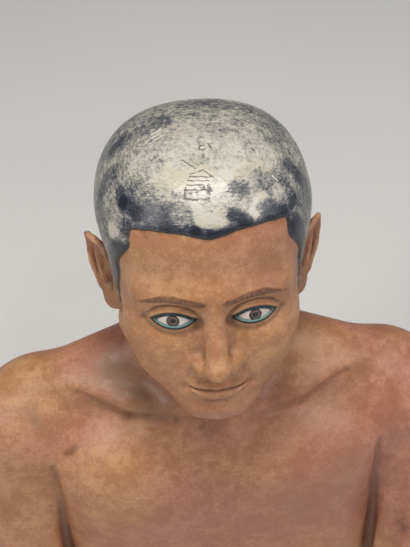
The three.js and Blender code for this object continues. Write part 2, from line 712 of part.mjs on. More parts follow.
// Each eye: a socket in the stone, a copper rim along its wall, a white almond inside the rim with a
// shallow round seat, and the crystal disc in that seat. The same gap is left round every piece.
const PER_SIDE = 12;
const rimOuter = -FIT_GAP;
const rimInner = rimOuter - RIM_WIDTH;
const whiteEdge = rimInner - FIT_GAP;
const floor = FIT_GAP - SOCKET_DEPTH;
for (const [name, side] of [['left', 1], ['right', -1]]) {
  const place = eyePlacement(side);
  const moved = (solid) => fromSolid(solid).applyMatrix4(place);
  const socket = almondPlate(almondOutline(0, PER_SIDE), null, 2, -SOCKET_DEPTH);
  block = block.subtract(toSolid(socket.applyMatrix4(place)));
  const rimHole = almondOutline(rimInner, PER_SIDE);
  const rim = almondPlate(almondOutline(rimOuter, PER_SIDE), rimHole, RIM_PROUD, floor);
  const almond = almondOutline(whiteEdge, PER_SIDE);
  const seat = disc(CRYSTAL_RADIUS + FIT_GAP, 6, -CRYSTAL_DEPTH - FIT_GAP);
  const eyeball = toSolid(almondPlate(almond, null, 0, floor)).subtract(toSolid(seat));
  const lens = toSolid(almondPlate(almond, null, CRYSTAL_PROUD, -CRYSTAL_DEPTH));
  addPiece(`${name}_eye_rim`, moved(toSolid(rim)), copper);
  addPiece(`${name}_eye_white`, moved(eyeball), white);
  const round = toSolid(disc(CRYSTAL_RADIUS, 6, -6));
  addPiece(`${name}_eye_crystal`, moved(lens.intersect(round)), crystal);
}
addPiece('statue_body', fromSolid(block), stone);

export default bust;
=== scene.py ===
import math
from functools import reduce
import bpy
import numpy as np
from mathutils import Matrix, Vector


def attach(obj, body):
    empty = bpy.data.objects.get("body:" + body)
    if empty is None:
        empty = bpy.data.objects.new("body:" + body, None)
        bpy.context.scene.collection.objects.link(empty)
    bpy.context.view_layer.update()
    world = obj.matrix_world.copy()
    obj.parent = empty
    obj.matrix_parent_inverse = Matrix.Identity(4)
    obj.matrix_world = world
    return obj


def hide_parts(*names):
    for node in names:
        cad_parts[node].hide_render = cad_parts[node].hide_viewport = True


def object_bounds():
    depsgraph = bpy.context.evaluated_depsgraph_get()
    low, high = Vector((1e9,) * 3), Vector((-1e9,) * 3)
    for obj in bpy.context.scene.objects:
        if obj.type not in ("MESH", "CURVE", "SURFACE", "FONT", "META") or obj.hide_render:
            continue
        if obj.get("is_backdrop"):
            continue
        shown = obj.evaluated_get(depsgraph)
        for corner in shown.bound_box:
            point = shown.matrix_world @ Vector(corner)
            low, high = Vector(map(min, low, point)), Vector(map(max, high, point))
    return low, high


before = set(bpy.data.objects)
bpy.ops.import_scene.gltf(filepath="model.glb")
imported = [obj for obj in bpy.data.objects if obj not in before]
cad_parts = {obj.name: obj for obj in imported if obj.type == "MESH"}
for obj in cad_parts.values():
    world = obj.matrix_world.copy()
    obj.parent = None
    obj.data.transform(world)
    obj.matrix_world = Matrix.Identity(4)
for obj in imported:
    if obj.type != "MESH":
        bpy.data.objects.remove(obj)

cad_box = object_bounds()

# Sizes as in the CAD: metres first, then millimetres
HEAD_HEIGHT = 0.132
EYE_LEVEL = 0.2205
UNIT = HEAD_HEIGHT / 100
MM = 0.001
UNIT_MM = UNIT / MM
HAIR_STEP = 1.3
WEB_THICKNESS = 52
EYE_HALF_WIDTH = 10.4
EYE_UPPER_HEIGHT = 5.1
EYE_LOWER_HEIGHT = 4.1
EYE_BULGE = 20.0
SOCKET_DEPTH = 3.4
SOCKET_CUT_ABOVE = 2.2
FIT_GAP = 0.3
RIM_WIDTH = 1.4
RIM_PROUD = 0.3
CRYSTAL_RADIUS = 2.75
CRYSTAL_DEPTH = 1.1
CRYSTAL_PROUD = 0.2
CRYSTAL_RISE = 0.35
IRIS_BEHIND_FRONT = 0.75
IRIS_THICKNESS = 0.2
IRIS_RADIUS = CRYSTAL_RADIUS - 0.08
PLUG_REACH = 6
# The head's tilt about a point (y, z), and the middle and outward turn of the left eye, in units
TILT = math.radians(-9)
PIVOT = (12.0, -40.0)
EYE = (14.2, -34.6, -0.5)
EYE_TURN = math.radians(11)
# Edges sharper than this many degrees stay sharp in the shading
BODY_SHARP_ANGLE = 48
EYE_SHARP_ANGLE = 32
# The marks on the front of the hair cap: their middle in the head's own frame, in units, and their up
MARKS_AT = (-3.3, -24.2, 46.6)
MARKS_UP = Vector((0, 0.83, 0.558)).normalized()


# Rounded solids described by their distance: negative inside, and in units
def mix_min(a, b, soft):
    """The union of two distances, blended where they are closer than soft."""
    h = np.maximum(soft - np.abs(a - b), 0) / soft
    return np.minimum(a, b) - h * h * soft * 0.25


def mix_max(a, b, soft):
    """The part inside both distances, blended in the same way."""
    return -mix_min(-a, -b, soft)


def bell(t):
    """1 at zero, falling off on both sides."""
    return np.exp(-t * t)


def ramp(start, end, x):
    """0 at the start and 1 at the end, with a soft beginning and end."""
    t = np.clip((x - start) / (end - start), 0, 1)
    return t * t * (3 - 2 * t)


def egg(p, centre, radii):
    """An egg with three radii."""
    u = [(p[i] - centre[i]) / radii[i] for i in range(3)]
    near = np.sqrt(u[0] ** 2 + u[1] ** 2 + u[2] ** 2) + 1e-6
    slope = np.sqrt(sum((u[i] / radii[i]) ** 2 for i in range(3))) + 1e-9
    return near * (near - 1) / slope


def dome(p, centre, radii, plan_power, upright_power):
    """An egg whose plan and upright outlines grow squarer with their powers."""
    u, v, w = (np.abs(p[i] - centre[i]) for i in range(3))
    plan = (u / radii[0]) ** plan_power + (v / radii[1]) ** plan_power + 1e-9
    whole = plan ** (upright_power / plan_power) + (w / radii[2]) ** upright_power + 1e-9
    return np.sqrt(u * u + v * v + w * w) * (1 - whole ** (-1 / upright_power))


def limb(p, a, b, radius_a, radius_b):
    """A round bar from a to b whose radius changes on the way."""
    along = [b[i] - a[i] for i in range(3)]
    off = [p[i] - a[i] for i in range(3)]
    t = sum(off[i] * along[i] for i in range(3)) / sum(s * s for s in along)
    t = np.clip(t, 0, 1)
    gap = np.sqrt(sum((off[i] - along[i] * t) ** 2 for i in range(3)))
    return gap - radius_a - (radius_b - radius_a) * t


# The almond outline of the eye, in millimetres
def almond_arcs(grow=0.0):
    """Centre and radius of the upper and of the lower arc, grown outward."""
    half = EYE_HALF_WIDTH
    upper = (half * half + EYE_UPPER_HEIGHT ** 2) / (2 * EYE_UPPER_HEIGHT)
    lower = (half * half + EYE_LOWER_HEIGHT ** 2) / (2 * EYE_LOWER_HEIGHT)
    return EYE_UPPER_HEIGHT - upper, upper + grow, lower - EYE_LOWER_HEIGHT, lower + grow


def almond_distance(u, v):
    """How far a place lies outside the almond."""
    upper_centre, upper_radius, lower_centre, lower_radius = almond_arcs()
    top = np.hypot(u, v - upper_centre) - upper_radius
    low = np.hypot(u, v - lower_centre) - lower_radius
    return np.maximum(top, low)


def to_head(p):
    """Places in the head's own frame, which is upright before the head is tilted."""
    c, s = math.cos(TILT), math.sin(TILT)
    y, z = p[1] - PIVOT[0], p[2] - PIVOT[1]
    return p[0], c * y + s * z + PIVOT[0], c * z - s * y + PIVOT[1]


def to_eye(q):
    """Places in the eye's own directions: outward, up and off the face."""
    x, y, z = np.abs(q[0]) - EYE[0], q[1] - EYE[1], q[2] - EYE[2]
    c, s = math.cos(EYE_TURN), math.sin(EYE_TURN)
    return x * c + y * s, z, x * s - y * c


def hair_depth(q):
    """How far a place lies inside the line of the hair: below zero on the skin."""
    x, y, z = np.abs(q[0]), q[1], q[2]
    brow = z - 34.3 + 2.3 * bell(x / 7) + 1.2 * ramp(18, 27, x)
    front = -26 + 7 * ramp(27, 13, z) + 7 * ramp(14, -4, z) + 0.8 * ramp(27, 33, z)
    below = -7.5 - 21.5 * ramp(3, 19, y)
    return np.maximum(brow, np.minimum(y - front, z - below))


def brow_line(x):
    return 8.2 + 1.9 * bell((x - 15) / 9) - 0.045 * np.maximum(x - 17, 0) ** 1.6


def mouth_line(x):
    m = np.clip(1 - (x / 11.2) ** 2, 0, 1)
    return m, -29.2 + 0.7 * (1 - m) ** 1.5 - 0.25 * bell(x / 2.6)


def relief(x, y, z):
    """How much the lips, chin fold, brows and cheeks stand off the face."""
    m, line = mouth_line(x)
    upper_height = 0.7 + 3.2 * m ** 0.9 - 0.45 * bell(x / 1.5)
    lower_height = 0.7 + 3.9 * np.clip(1 - (x / 10.2) ** 2, 0, 1) ** 0.8
    upper_lip = 1.05 * bell(((z - line) / upper_height - 0.5) / 0.42)
    lower_lip = 1.3 * bell(((line - z) / lower_height - 0.48) / 0.42)
    lips = m ** 0.6 * (upper_lip + lower_lip)
    parting = -0.9 * bell((z - line) / 0.62) * ramp(0, 0.25, m)
    corner = -0.8 * bell((x - 11.4) / 2) * bell((z + 28.6) / 2.2)
    channel = -0.4 * bell(x / 1.7) * ramp(-20.5, -22.5, z) * ramp(-27, -25, z)
    chin_fold = -1.3 * bell((z + 36) / 2.4) * bell(x / 8.5)
    brow = 0.45 * bell((z - brow_line(x)) / 1.2) * ramp(2.5, 6, x) * ramp(27, 22, x)
    cheek = -0.35 * bell((x - 2.72 + 0.32 * z) / 1.9) * ramp(-17, -21, z) * ramp(-29, -25, z)
    return ramp(-12, -22, y) * (lips + parting + corner + channel + chin_fold + brow + cheek)


def eyelids(q, skin):
    """The face with the ball of the eye and its lids worked into it."""
    u, v, w = to_eye(q)
    near = ramp(-12, -6, w)
    outside = almond_distance(u * UNIT_MM, v * UNIT_MM) / UNIT_MM
    bulge = EYE_BULGE / UNIT_MM
    ball = np.sqrt(u * u + (v * 0.9) ** 2 + (w + bulge) ** 2) - bulge
    blend = ramp(4.2, 0.6, outside) * near
    lid = 0.9 * bell((outside - 1.1) / 1.25) * ramp(-1.6, 1.2, v - 0.02 * u * u)
    edge = 0.25 * bell((outside - 0.9) / 1.1)
    crease = -0.75 * bell((outside - 3.4) / 0.75) * ramp(0.5, 3, v) * ramp(8.5, 5, np.abs(u))
    return skin * (1 - blend) + ball * blend - (lid + edge + crease) * near


def head(q):
    x, y, z = q
    # The skull draws in beside the ears
    wide = x * (1 + 0.13 * ramp(30, -2, z))
    d = dome((wide, y, z), (0, 6.5, 16.5), (38.3, 42.2, 35.8), 2.4, 2.65)
    d = mix_min(d, dome(q, (0, -5, -9), (30.4, 31.5, 38.5), 2.2, 2.1), 9)
    # Jaw, chin, cheekbones, cheeks, mouth and brows
    d = mix_min(d, limb(q, (8, -23, -39.5), (25.5, 0, -24), 6.5, 7.5), 12)
    d = mix_min(d, limb(q, (0, -29.5, -41), (4.5, -28.8, -40.8), 7.6, 7), 8)
    d = mix_min(d, egg(q, (21, -21.5, -9.5), (8.5, 8.5, 8)), 10)
    d = mix_min(d, egg(q, (17, -24, -20), (9, 8, 11)), 10)
    d = mix_min(d, egg(q, (0, -25.5, -29), (14, 11.6, 11)), 10)
    d = mix_min(d, limb(q, (3, -34, 8.5), (22, -27.5, 8), 3.4, 3.6), 9)
    # Eye sockets
    d = mix_max(d, -egg(q, (12.5, -43, -0.8), (10.5, 8.2, 6.6)), 8)
    d = eyelids(q, d)
    # Bridge, tip, wings and nostrils of the nose
    nose = limb(q, (0, -34.6, 4.5), (0, -40.8, -14), 3, 3.9)
    nose = mix_min(nose, egg(q, (0, -42.2, -16.8), (4.9, 5, 4.3)), 3)
    nose = mix_min(nose, egg(q, (5.1, -38, -18), (3, 4.4, 3.5)), 1.8)
    d = mix_min(d, nose, 4.5)
    d = mix_max(d, -egg(q, (2.9, -40.6, -21.6), (1.5, 2.6, 1.6)), 1.2)
    return d - relief(x, y, z)


# The ear's own directions: along the blade to its edge, up the blade, and off its hollow face
EAR_LEAN = math.sin(math.radians(12))
EAR_FLARE = math.radians(46)
EAR_UP = Vector((EAR_LEAN, EAR_LEAN, 1)).normalized()
EAR_OUT = Vector((math.sin(EAR_FLARE), math.cos(EAR_FLARE), 0))
EAR_OUT = (EAR_OUT - EAR_UP * EAR_UP.dot(EAR_OUT)).normalized()
EAR_FACE = EAR_OUT.cross(EAR_UP)


def to_ear(q):
    # The left ear lies a little closer to the head than the right one
    place = np.where(q[0] > 0, 34.1 + 0.05 * (q[2] + 2.4), 35)
    off = (np.abs(q[0]) - place, q[1] - 1, q[2] + 2.4)
    return tuple(off[0] * k.x + off[1] * k.y + off[2] * k.z for k in (EAR_OUT, EAR_UP, EAR_FACE))


def ear(q):
    u, v, root = to_ear(q)
    # The lobe bends outward
    n = root - 0.02 * np.minimum(v + 2, 0) ** 2
    p = (u, v, n)
    # The blade grows thin and narrow towards its tip and leans outward there
    thin = ramp(3, 13, v)
    above = np.maximum(v - 3, 0) ** 2
    across = (u - 1.6 - 0.06 * v - 0.018 * above) * (1 + 0.0034 * above)
    upper = (np.hypot(across / 6.3, (v - 4) / 12.6) - 1) * 8
    lobe = (np.hypot((u - 0.8) / 6.2, (v + 8.2) / 5) - 1) * 5.4
    outline = mix_min(upper, lobe, 6)
    blade = mix_max(outline, np.abs(n + 1.4 - 1.5 * thin - 0.06 * u) - 1.7 + 0.7 * thin, 1.5)
    blade = mix_min(blade, limb((u, v, root), (-3.2, 10, -1.8), (-2.6, -10, -0.8), 2.4, 3.2), 2)
    edge = np.hypot(outline + 1.4, n - 1.1 + 0.4 * thin) - 1.6 + 0.35 * thin
    rim = mix_max(edge, -(v + 8), 5)
    inner_line = (np.hypot(u - 1, (v - 1.6) / 2.7) / 3.2 - 1) * 4.6
    inner_ridge = mix_max(np.hypot(inner_line, n - 0.6) - 1.15, -(v + 6), 2)
    d = mix_min(mix_min(blade, rim, 1.2), inner_ridge, 1.2)
    d = mix_max(d, -egg(p, (-0.4, -2.6, 1.2), (2.6, 4.8, 2.6)), 1.2)
    d = mix_min(d, egg(p, (-3.6, -4.4, 1), (2.2, 3, 2)), 1.4)
    return mix_min(d, egg(p, (0.6, -9.2, 0), (5.2, 4.2, 2.2)), 2)


def neck(p):
    column = limb(p, (0, 13, -18), (0, 17, -70), 21, 23.5)
    return mix_min(column, limb(p, (19, 8, -26), (6, -11, -70), 3.2, 3.6), 9)


def line_under_collarbone(p):
    inner = limb(p, (13, -14.2, -64.6), (35, -9.8, -65.2), 1.3, 1.7)
    return np.minimum(inner, limb(p, (35, -9.8, -65.2), (54, 0, -58.8), 1.7, 0.8))


def fold_at_arm(p):
    upper = limb(p, (67, -13.5, -88), (66.3, -16, -112), 0.8, 2.4)
    return np.minimum(upper, limb(p, (66.3, -16, -112), (65.4, -17.5, -190), 2.4, 2.8))


def torso(p):
    # Trunk, shoulder girdle, slope of the neck, chest and shoulder
    d = dome(p, (0, 10, -142), (66.5, 38, 80), 4.4, 2.4)
    d = mix_min(d, dome(p, (0, 14, -86), (78, 25, 27), 2.3, 2.1), 18)
    d = mix_min(d, limb(p, (6, 18, -48), (68, 15, -70.5), 15, 12.5), 16)
    d = mix_min(d, egg(p, (30, -9, -102), (35, 17, 25)), 14)
    d = mix_min(d, egg(p, (76.5, 11, -86.5), (24, 24, 26)), 14)
    # Collarbone with its crease, the neck pit, the hollow above the bone, the blade and the spine
    bone = limb(p, (7, -10.2, -66), (34, -4.6, -61), 2.6, 2.8)
    bone = mix_min(bone, limb(p, (34, -4.6, -61), (60, 6, -57.5), 2.8, 1.6), 3)
    d = mix_min(d, bone, 9)
    d = mix_max(d, -line_under_collarbone(p), 3)
    d = mix_max(d, -egg(p, (0, -23, -70), (6, 7, 5)), 6)
    d = mix_max(d, -limb(p, (14, -23, -60), (42, -14, -54), 3, 3), 9)
    d = mix_min(d, egg(p, (36, 36, -96), (22, 9, 27)), 16)
    d = mix_max(d, -limb(p, (0, 53, -70), (0, 53, -200), 5, 5), 12)
    # Upper arm, and the stone left between it and the side
    d = mix_min(d, limb(p, (81, 8.5, -91), (85.5, -22.5, -190), 20, 18.4), 2)
    web = WEB_THICKNESS / UNIT_MM / 2
    d = mix_min(d, dome(p, (69, 3, -190), (17, web, 100), 4, 4), 2)
    return mix_max(d, -fold_at_arm(p), 2.5)


def carving(points):
    """The whole carving as one distance, for points of shape (n, 3) in units."""
    p = (np.abs(points[:, 0]), points[:, 1], points[:, 2])
    d = neck(p)
    # The head, the ears and the torso are worked out only where they reach
    high = np.flatnonzero(p[2] > -78)
    q = to_head(tuple(c[high] for c in p))
    part = mix_min(d[high], head(q), 7)
    part -= HAIR_STEP / UNIT_MM * ramp(-0.4, 0.4, hair_depth(q))
    side = np.flatnonzero(q[0] > 24)
    at_side = (points[high[side], 0], q[1][side], q[2][side])
    part[side] = mix_min(part[side], ear(at_side), 1.6)
    d[high] = part
    low = np.flatnonzero(p[2] < -8)
    d[low] = mix_min(d[low], torso(tuple(c[low] for c in p)), 12)
    return d


# Wrapping the zero level in a skin of quads
def spread(*spans):
    """Grid lines along one axis, from spans of (start, end, cell)."""
    points = [spans[0][0]]
    for start, end, step in spans:
        count = max(1, round((end - start) / step))
        points += [start + (end - start) * i / count for i in range(1, count + 1)]
    return np.array(points)


def sample(distance, axes, block=6):
    """Values on the grid. Only blocks that the surface may cross are worked out point by point."""
    shape = tuple(len(a) for a in axes)
    value = np.empty(shape, np.float32)
    wanted = np.zeros(shape, bool)
    starts = [np.arange(0, n - 1, block) for n in shape]
    ends = [np.minimum(s + block, n - 1) for s, n in zip(starts, shape)]
    middle = [(a[s] + a[e]) / 2 for a, s, e in zip(axes, starts, ends)]
    size = [(a[e] - a[s]) / 2 for a, s, e in zip(axes, starts, ends)]
    grid = np.stack(np.meshgrid(*middle, indexing="ij"), -1)
    reach = np.sqrt(sum(g ** 2 for g in np.meshgrid(*size, indexing="ij")))
    rough = distance(grid.reshape(-1, 3)).reshape(reach.shape)
    near = np.abs(rough) < 1.7 * reach + 1
    for i, j, k in np.ndindex(*reach.shape):
        box = tuple(slice(s[n], e[n] + 1) for s, e, n in zip(starts, ends, (i, j, k)))
        if near[i, j, k]:
            wanted[box] = True
        else:
            value[box] = rough[i, j, k]
    found = np.nonzero(wanted)
    points = np.stack([a[f] for a, f in zip(axes, found)], 1)
    value[found] = distance(points)
    return value


def wrap(value, axes):
    """Points and quads of the zero level: one point for each grid cell that it crosses."""
    inside = value < 0
    shape = np.array(value.shape)
    corners = [inside[i:shape[0] - 1 + i, j:shape[1] - 1 + j, k:shape[2] - 1 + k]
               for i in (0, 1) for j in (0, 1) for k in (0, 1)]
    count = sum(c.astype(np.int8) for c in corners)
    cells = np.nonzero((count > 0) & (count < 8))
    index = np.full(count.shape, -1, np.int64)
    index[cells] = np.arange(len(cells[0]))
    total = np.zeros((len(cells[0]), 3))
    hits = np.zeros(len(cells[0]))
    for axis in range(3):
        first, second = [a for a in range(3) if a != axis]
        for u, v in ((0, 0), (0, 1), (1, 0), (1, 1)):
            low = [c.copy() for c in cells]
            low[first] += u
            low[second] += v
            high = [c.copy() for c in low]
            high[axis] += 1
            a, b = value[tuple(low)], value[tuple(high)]
            crossed = (a < 0) != (b < 0)
            share = np.where(crossed, a / np.where(crossed, a - b, 1), 0)
            spot = np.stack([grid[c] for grid, c in zip(axes, low)], 1)
            spot[:, axis] += share * (axes[axis][high[axis]] - axes[axis][low[axis]])
            total[crossed] += spot[crossed]
            hits[crossed] += 1
    faces = []
    for axis in range(3):
        first, second = [a for a in range(3) if a != axis]
        start = [slice(None)] * 3
        end = [slice(None)] * 3
        start[axis] = slice(0, -1)
        end[axis] = slice(1, None)
        edge = np.nonzero(inside[tuple(start)] != inside[tuple(end)])
        kept = (edge[first] > 0) & (edge[second] > 0)
        kept &= (edge[first] < shape[first] - 1) & (edge[second] < shape[second] - 1)
        edge = [e[kept] for e in edge]
        ring = []
        for u, v in ((1, 1), (0, 1), (0, 0), (1, 0)):
            cell = [e.copy() for e in edge]
            cell[first] -= u
            cell[second] -= v
            ring.append(index[tuple(cell)])
        quad = np.stack(ring, 1)
        turned = inside[tuple(edge)] if axis == 1 else ~inside[tuple(edge)]
        quad[turned] = quad[turned][:, ::-1]
        faces.append(quad)
    return total / hits[:, None], np.concatenate(faces)


def new_object(name, vertices, faces):
    mesh = bpy.data.meshes.new(name)
    mesh.from_pydata(vertices, [], faces)
    mesh.update()
    obj = bpy.data.objects.new(name, mesh)
    bpy.context.scene.collection.objects.link(obj)
    return obj


def apply_modifiers(obj):
    """Gives the object the mesh that its modifiers make, and drops them."""
    seen = obj.evaluated_get(bpy.context.evaluated_depsgraph_get())
    mesh = bpy.data.meshes.new_from_object(seen)
    obj.modifiers.clear()
    old = obj.data
    obj.data = mesh
    mesh.name = obj.name
    bpy.data.meshes.remove(old)


def combine(obj, tool, operation):
    modifier = obj.modifiers.new("combine", "BOOLEAN")
    modifier.operation = operation
    modifier.solver = "EXACT"
    modifier.object = tool
    bpy.context.view_layer.update()
    apply_modifiers(obj)
    bpy.data.objects.remove(tool)


def smooth(obj, angle):
    for face in obj.data.polygons:
        face.use_smooth = True
    obj.data.set_sharp_from_angle(angle=math.radians(angle))


def give(obj, name, values):
    """Stores one number or three numbers for each point of the mesh."""
    kind = "FLOAT" if values.ndim == 1 else "FLOAT_VECTOR"
    layer = obj.data.attributes.new(name, kind, "POINT")
    layer.data.foreach_set("value" if kind == "FLOAT" else "vector", values.astype(np.float32).ravel())


def points_of(obj):
    places = np.empty(len(obj.data.vertices) * 3, np.float32)
    obj.data.vertices.foreach_get("co", places)
    return places.reshape(-1, 3).astype(float)


# Eye pieces, built in the eye's own frame in millimetres: u across, v up, w off the face
def eye_place(side):
    """From the frame of the left eye (side 1) or the right eye (side -1) to the scene."""
    y, z = EYE[1] - PIVOT[0], EYE[2] - PIVOT[1]
    c, s = math.cos(TILT), math.sin(TILT)
    spot = Vector((side * EYE[0], c * y - s * z + PIVOT[0], s * y + c * z + PIVOT[1])) * UNIT
    spot.z += EYE_LEVEL
    turn = Matrix.Rotation(TILT, 4, "X") @ Matrix.Rotation(side * EYE_TURN, 4, "Z")
    return Matrix.Translation(spot) @ turn @ Matrix.Rotation(math.pi / 2, 4, "X") @ Matrix.Scale(MM, 4)


def almond_outline(grow, per_side=44):
    """Points round the grown almond, over the upper arc and back along the lower one."""
    upper_centre, upper_radius, lower_centre, lower_radius = almond_arcs(grow)
    gap = lower_centre - upper_centre
    rise = (upper_radius ** 2 - lower_radius ** 2 + gap * gap) / (2 * gap)
    corner_v = upper_centre + rise
    corner_u = math.sqrt(upper_radius ** 2 - rise ** 2)
    upper_edge = math.atan2(corner_v - upper_centre, corner_u)
    lower_edge = math.atan2(corner_v - lower_centre, -corner_u)
    points = []
    for i in range(per_side):
        angle = upper_edge + (math.pi - 2 * upper_edge) * i / per_side
        points.append((math.cos(angle) * upper_radius, math.sin(angle) * upper_radius + upper_centre))
    for i in range(per_side):
        angle = lower_edge + (-math.pi - 2 * lower_edge) * i / per_side
        points.append((math.cos(angle) * lower_radius, math.sin(angle) * lower_radius + lower_centre))
    return points


def bulge(u, v):
    """How far the eye's ball falls back from its middle."""
    return math.sqrt(EYE_BULGE ** 2 - u * u - v * v) - EYE_BULGE


def edges(count, start=0):
    """The pairs of neighbours on a ring of points."""
    return [(start + i, start + (i + 1) % count) for i in range(count)]


def ring_faces(count, low, high):
    """Quads between two rings of points that start at low and at high."""
    return [(a, c, d, b) for (a, b), (c, d) in zip(edges(count, low), edges(count, high))]


def eye_solid(name, rings, side, closed=True):
    """A solid from rings of points (u, v, w) that run from the middle of its front to its back."""
    count = len(rings[0])
    vertices = [p for ring in rings for p in ring]
    last = len(vertices) - count
    faces = []
    for start in range(0, last, count):
        faces += ring_faces(count, start, start + count)
    if closed:
        u, v, w = rings[0][0]
        front_middle = len(vertices)
        vertices.append((0, 0, w - bulge(u, v)))
        vertices.append((0, 0, sum(p[2] for p in rings[-1]) / count))
        faces += [(a, b, front_middle) for a, b in edges(count)]
        faces += [(b, a, front_middle + 1) for a, b in edges(count, last)]
    else:
        faces += ring_faces(count, last, 0)
    obj = new_object(name, vertices, faces)
    obj.data.transform(eye_place(side))
    return obj


def give_eye_frame(obj, side):
    """Stores where each point lies in the eye's own directions, in mm."""
    back = np.array(eye_place(side).inverted())
    give(obj, "eye", points_of(obj) @ back[:3, :3].T + back[:3, 3])


def almond_plate(name, grow, front, back, side):
    """A plate of the eye's outline whose front and back follow the ball."""
    outline = almond_outline(grow)
    shares = (0.12, 0.3, 0.5, 0.7, 0.88, 1)
    rings = [[(u * s, v * s, bulge(u * s, v * s) + front) for u, v in outline] for s in shares]
    rings.append([(u, v, bulge(u, v) + back) for u, v in outline])
    return eye_solid(name, rings, side)


def round_plug(name, radius, back, side, count=72):
    """A round bar through the eye's crystal, from well in front of the face."""
    angles = [2 * math.pi * i / count for i in range(count)]
    ring = [(math.cos(a) * radius, math.sin(a) * radius + CRYSTAL_RISE) for a in angles]
    vertices = [(u, v, w) for w in (PLUG_REACH, back) for u, v in ring]
    ends = [tuple(range(count)), tuple(range(2 * count - 1, count - 1, -1))]
    plug = new_object(name, vertices, ends + ring_faces(count, 0, count))
    plug.data.transform(eye_place(side))
    return plug


def eye_pieces(name, side):
    """The rim, the white and the crystal of one eye, with the painted iris sealed in the crystal."""
    outer, inner = -FIT_GAP, -FIT_GAP - RIM_WIDTH
    floor = FIT_GAP - SOCKET_DEPTH
    # Across the rim, as (growth, height): its inner wall, a rounded front and its outer wall
    section = [(inner, floor), (inner, -0.15), (inner + 0.12, 0.1)]
    section += [(inner + 0.35, 0.26), (outer - 0.35, RIM_PROUD), (outer - 0.12, 0.14)]
    section += [(outer, -0.15), (outer, floor)]
    rings = [[(u, v, bulge(u, v) + w) for u, v in almond_outline(grow)] for grow, w in section]
    rim = eye_solid(f"{name}_eye_rim_inlay", rings, side, closed=False)
    white_edge = inner - FIT_GAP
    white = almond_plate(f"{name}_eye_white_inlay", white_edge, 0, floor, side)
    seat = round_plug("seat", CRYSTAL_RADIUS + FIT_GAP, -CRYSTAL_DEPTH - FIT_GAP, side)
    combine(white, seat, "DIFFERENCE")
    crystal = almond_plate(f"{name}_eye_crystal_inlay", white_edge, CRYSTAL_PROUD, -CRYSTAL_DEPTH, side)
    combine(crystal, round_plug("plug", CRYSTAL_RADIUS, -PLUG_REACH, side), "INTERSECT")
    iris_front = CRYSTAL_PROUD - IRIS_BEHIND_FRONT
    iris = almond_plate(f"{name}_eye_iris", white_edge, iris_front, iris_front - IRIS_THICKNESS, side)
    combine(iris, round_plug("plug", IRIS_RADIUS, -PLUG_REACH, side), "INTERSECT")
    for piece in (rim, white, crystal, iris):
        give_eye_frame(piece, side)
    return {"rim": rim, "white": white, "crystal": crystal, "iris": iris}


# Where paint is worn or stained, and where shade is painted on. A stroke is its start and end in units, its
# radius and its strength.
def strokes(p, rows, clear=False):
    """The sum of all strokes at each place. They fade over their radius, softly or with a clear edge."""
    total = np.zeros(len(p[0]))
    for start, end, radius, strength in rows:
        gap = limb(p, start, (end[0] + 0.01, end[1], end[2]), 0, 0) / radius
        total += strength * (ramp(1.35, 0.6, gap) if clear else bell(gap))
    return total


# Placed in the head's own frame. Positive is black paint that is left, negative is the bare cream ground.
HAIR_PAINT = [
    ((-28.7, -15.3, 41.4), (-27.6, -19.8, 39.4), 2.2, 0.22),
    ((-27.6, -19.8, 39.4), (-22.9, -25.6, 38.3), 2.6, 0.34),
    ((-22.9, -25.6, 38.3), (-14.6, -30.3, 38.1), 2.2, 0.32),
    ((-24, -21, 42), (-15, -26, 42), 6, 0.17),
    ((-15.7, -28.6, 39.8), (-6.7, -30.9, 39.7), 3.4, 0.14),
    ((-14.7, -31.3, 36.1), (-4.5, -33.7, 35.1), 1.9, 0.3),
    ((-4.5, -33.7, 35.1), (1.2, -34.7, 32.8), 1.9, 0.4),
    ((1.2, -34.7, 32.8), (13.3, -31.7, 33.7), 2, 0.38),
    ((13.3, -31.7, 33.7), (25.9, -25.9, 32.7), 1.8, 0.26),
    ((10, -25, 45.2), (11.3, -25.2, 44.8), 3.3, 0.24),
    ((7.9, -31.3, 39), (12.4, -31.8, 36.6), 2.2, 0.5),
    ((17.7, -28.4, 38.9), (20.6, -26.8, 38.9), 2.4, 0.3),
    ((20.3, -28.7, 36.2), (24.6, -26.2, 35.4), 2.4, 0.34),
    ((25.5, -24.4, 36.9), (29.8, -20.1, 35.9), 2.6, 0.18),
    ((29.4, -10.3, 43), (31.7, -10.8, 40), 3.4, 0.3),
    ((34, -10, 37), (34, -18, 28), 4.4, 0.14),
    ((22, -21, 44), (28, -22, 35), 6, 0.1),
    ((17.4, -21.1, 45.7), (19.8, -22.8, 43.4), 3.2, 0.16),
    ((29.9, -24, 27.7), (32, -19, 16), 3.2, 0.42),
    ((32, -19, 16), (35.3, 0.7, -7.2), 3.8, 0.46),
    ((-20, 8, 51), (-12, 11, 53), 4.2, 0.2),
    ((-29.7, 6.3, 45.2), (-26.7, 8.9, 47.5), 3.6, 0.24),
    ((-34, -6, 38), (-32, -6, 42), 4.4, 0.22),
    ((-36, -8, 32), (-35, -15, 28), 4.2, 0.16),
    ((-30, -24, 23), (-33, -14, 2), 4.6, 0.5),
    ((-32.5, -20.4, 21.4), (-32.2, -17.5, 9.4), 4, 0.2),
    ((-2, 23, 52), (16, 21, 51), 5, 0.12),
    ((-32.1, -20.4, 29.5), (-29, -25, 27.8), 2.8, -0.3),
    ((-3.9, -29.4, 41.9), (-3, -32.5, 37.6), 1.7, -0.34),
    ((-1, -32.1, 38.4), (4.2, -32.6, 37.4), 1.7, -0.2),
    ((14.1, -30.8, 37.3), (18.1, -25.9, 41.6), 2, -0.3),
    ((-9, -14, 51), (15, -14, 50), 11, -0.1),
    ((-12, -22, 47), (5, -24, 47), 6, -0.1),
    ((23.8, -22.1, 41.1), (26.7, -25.5, 33.2), 2.4, -0.16),
]
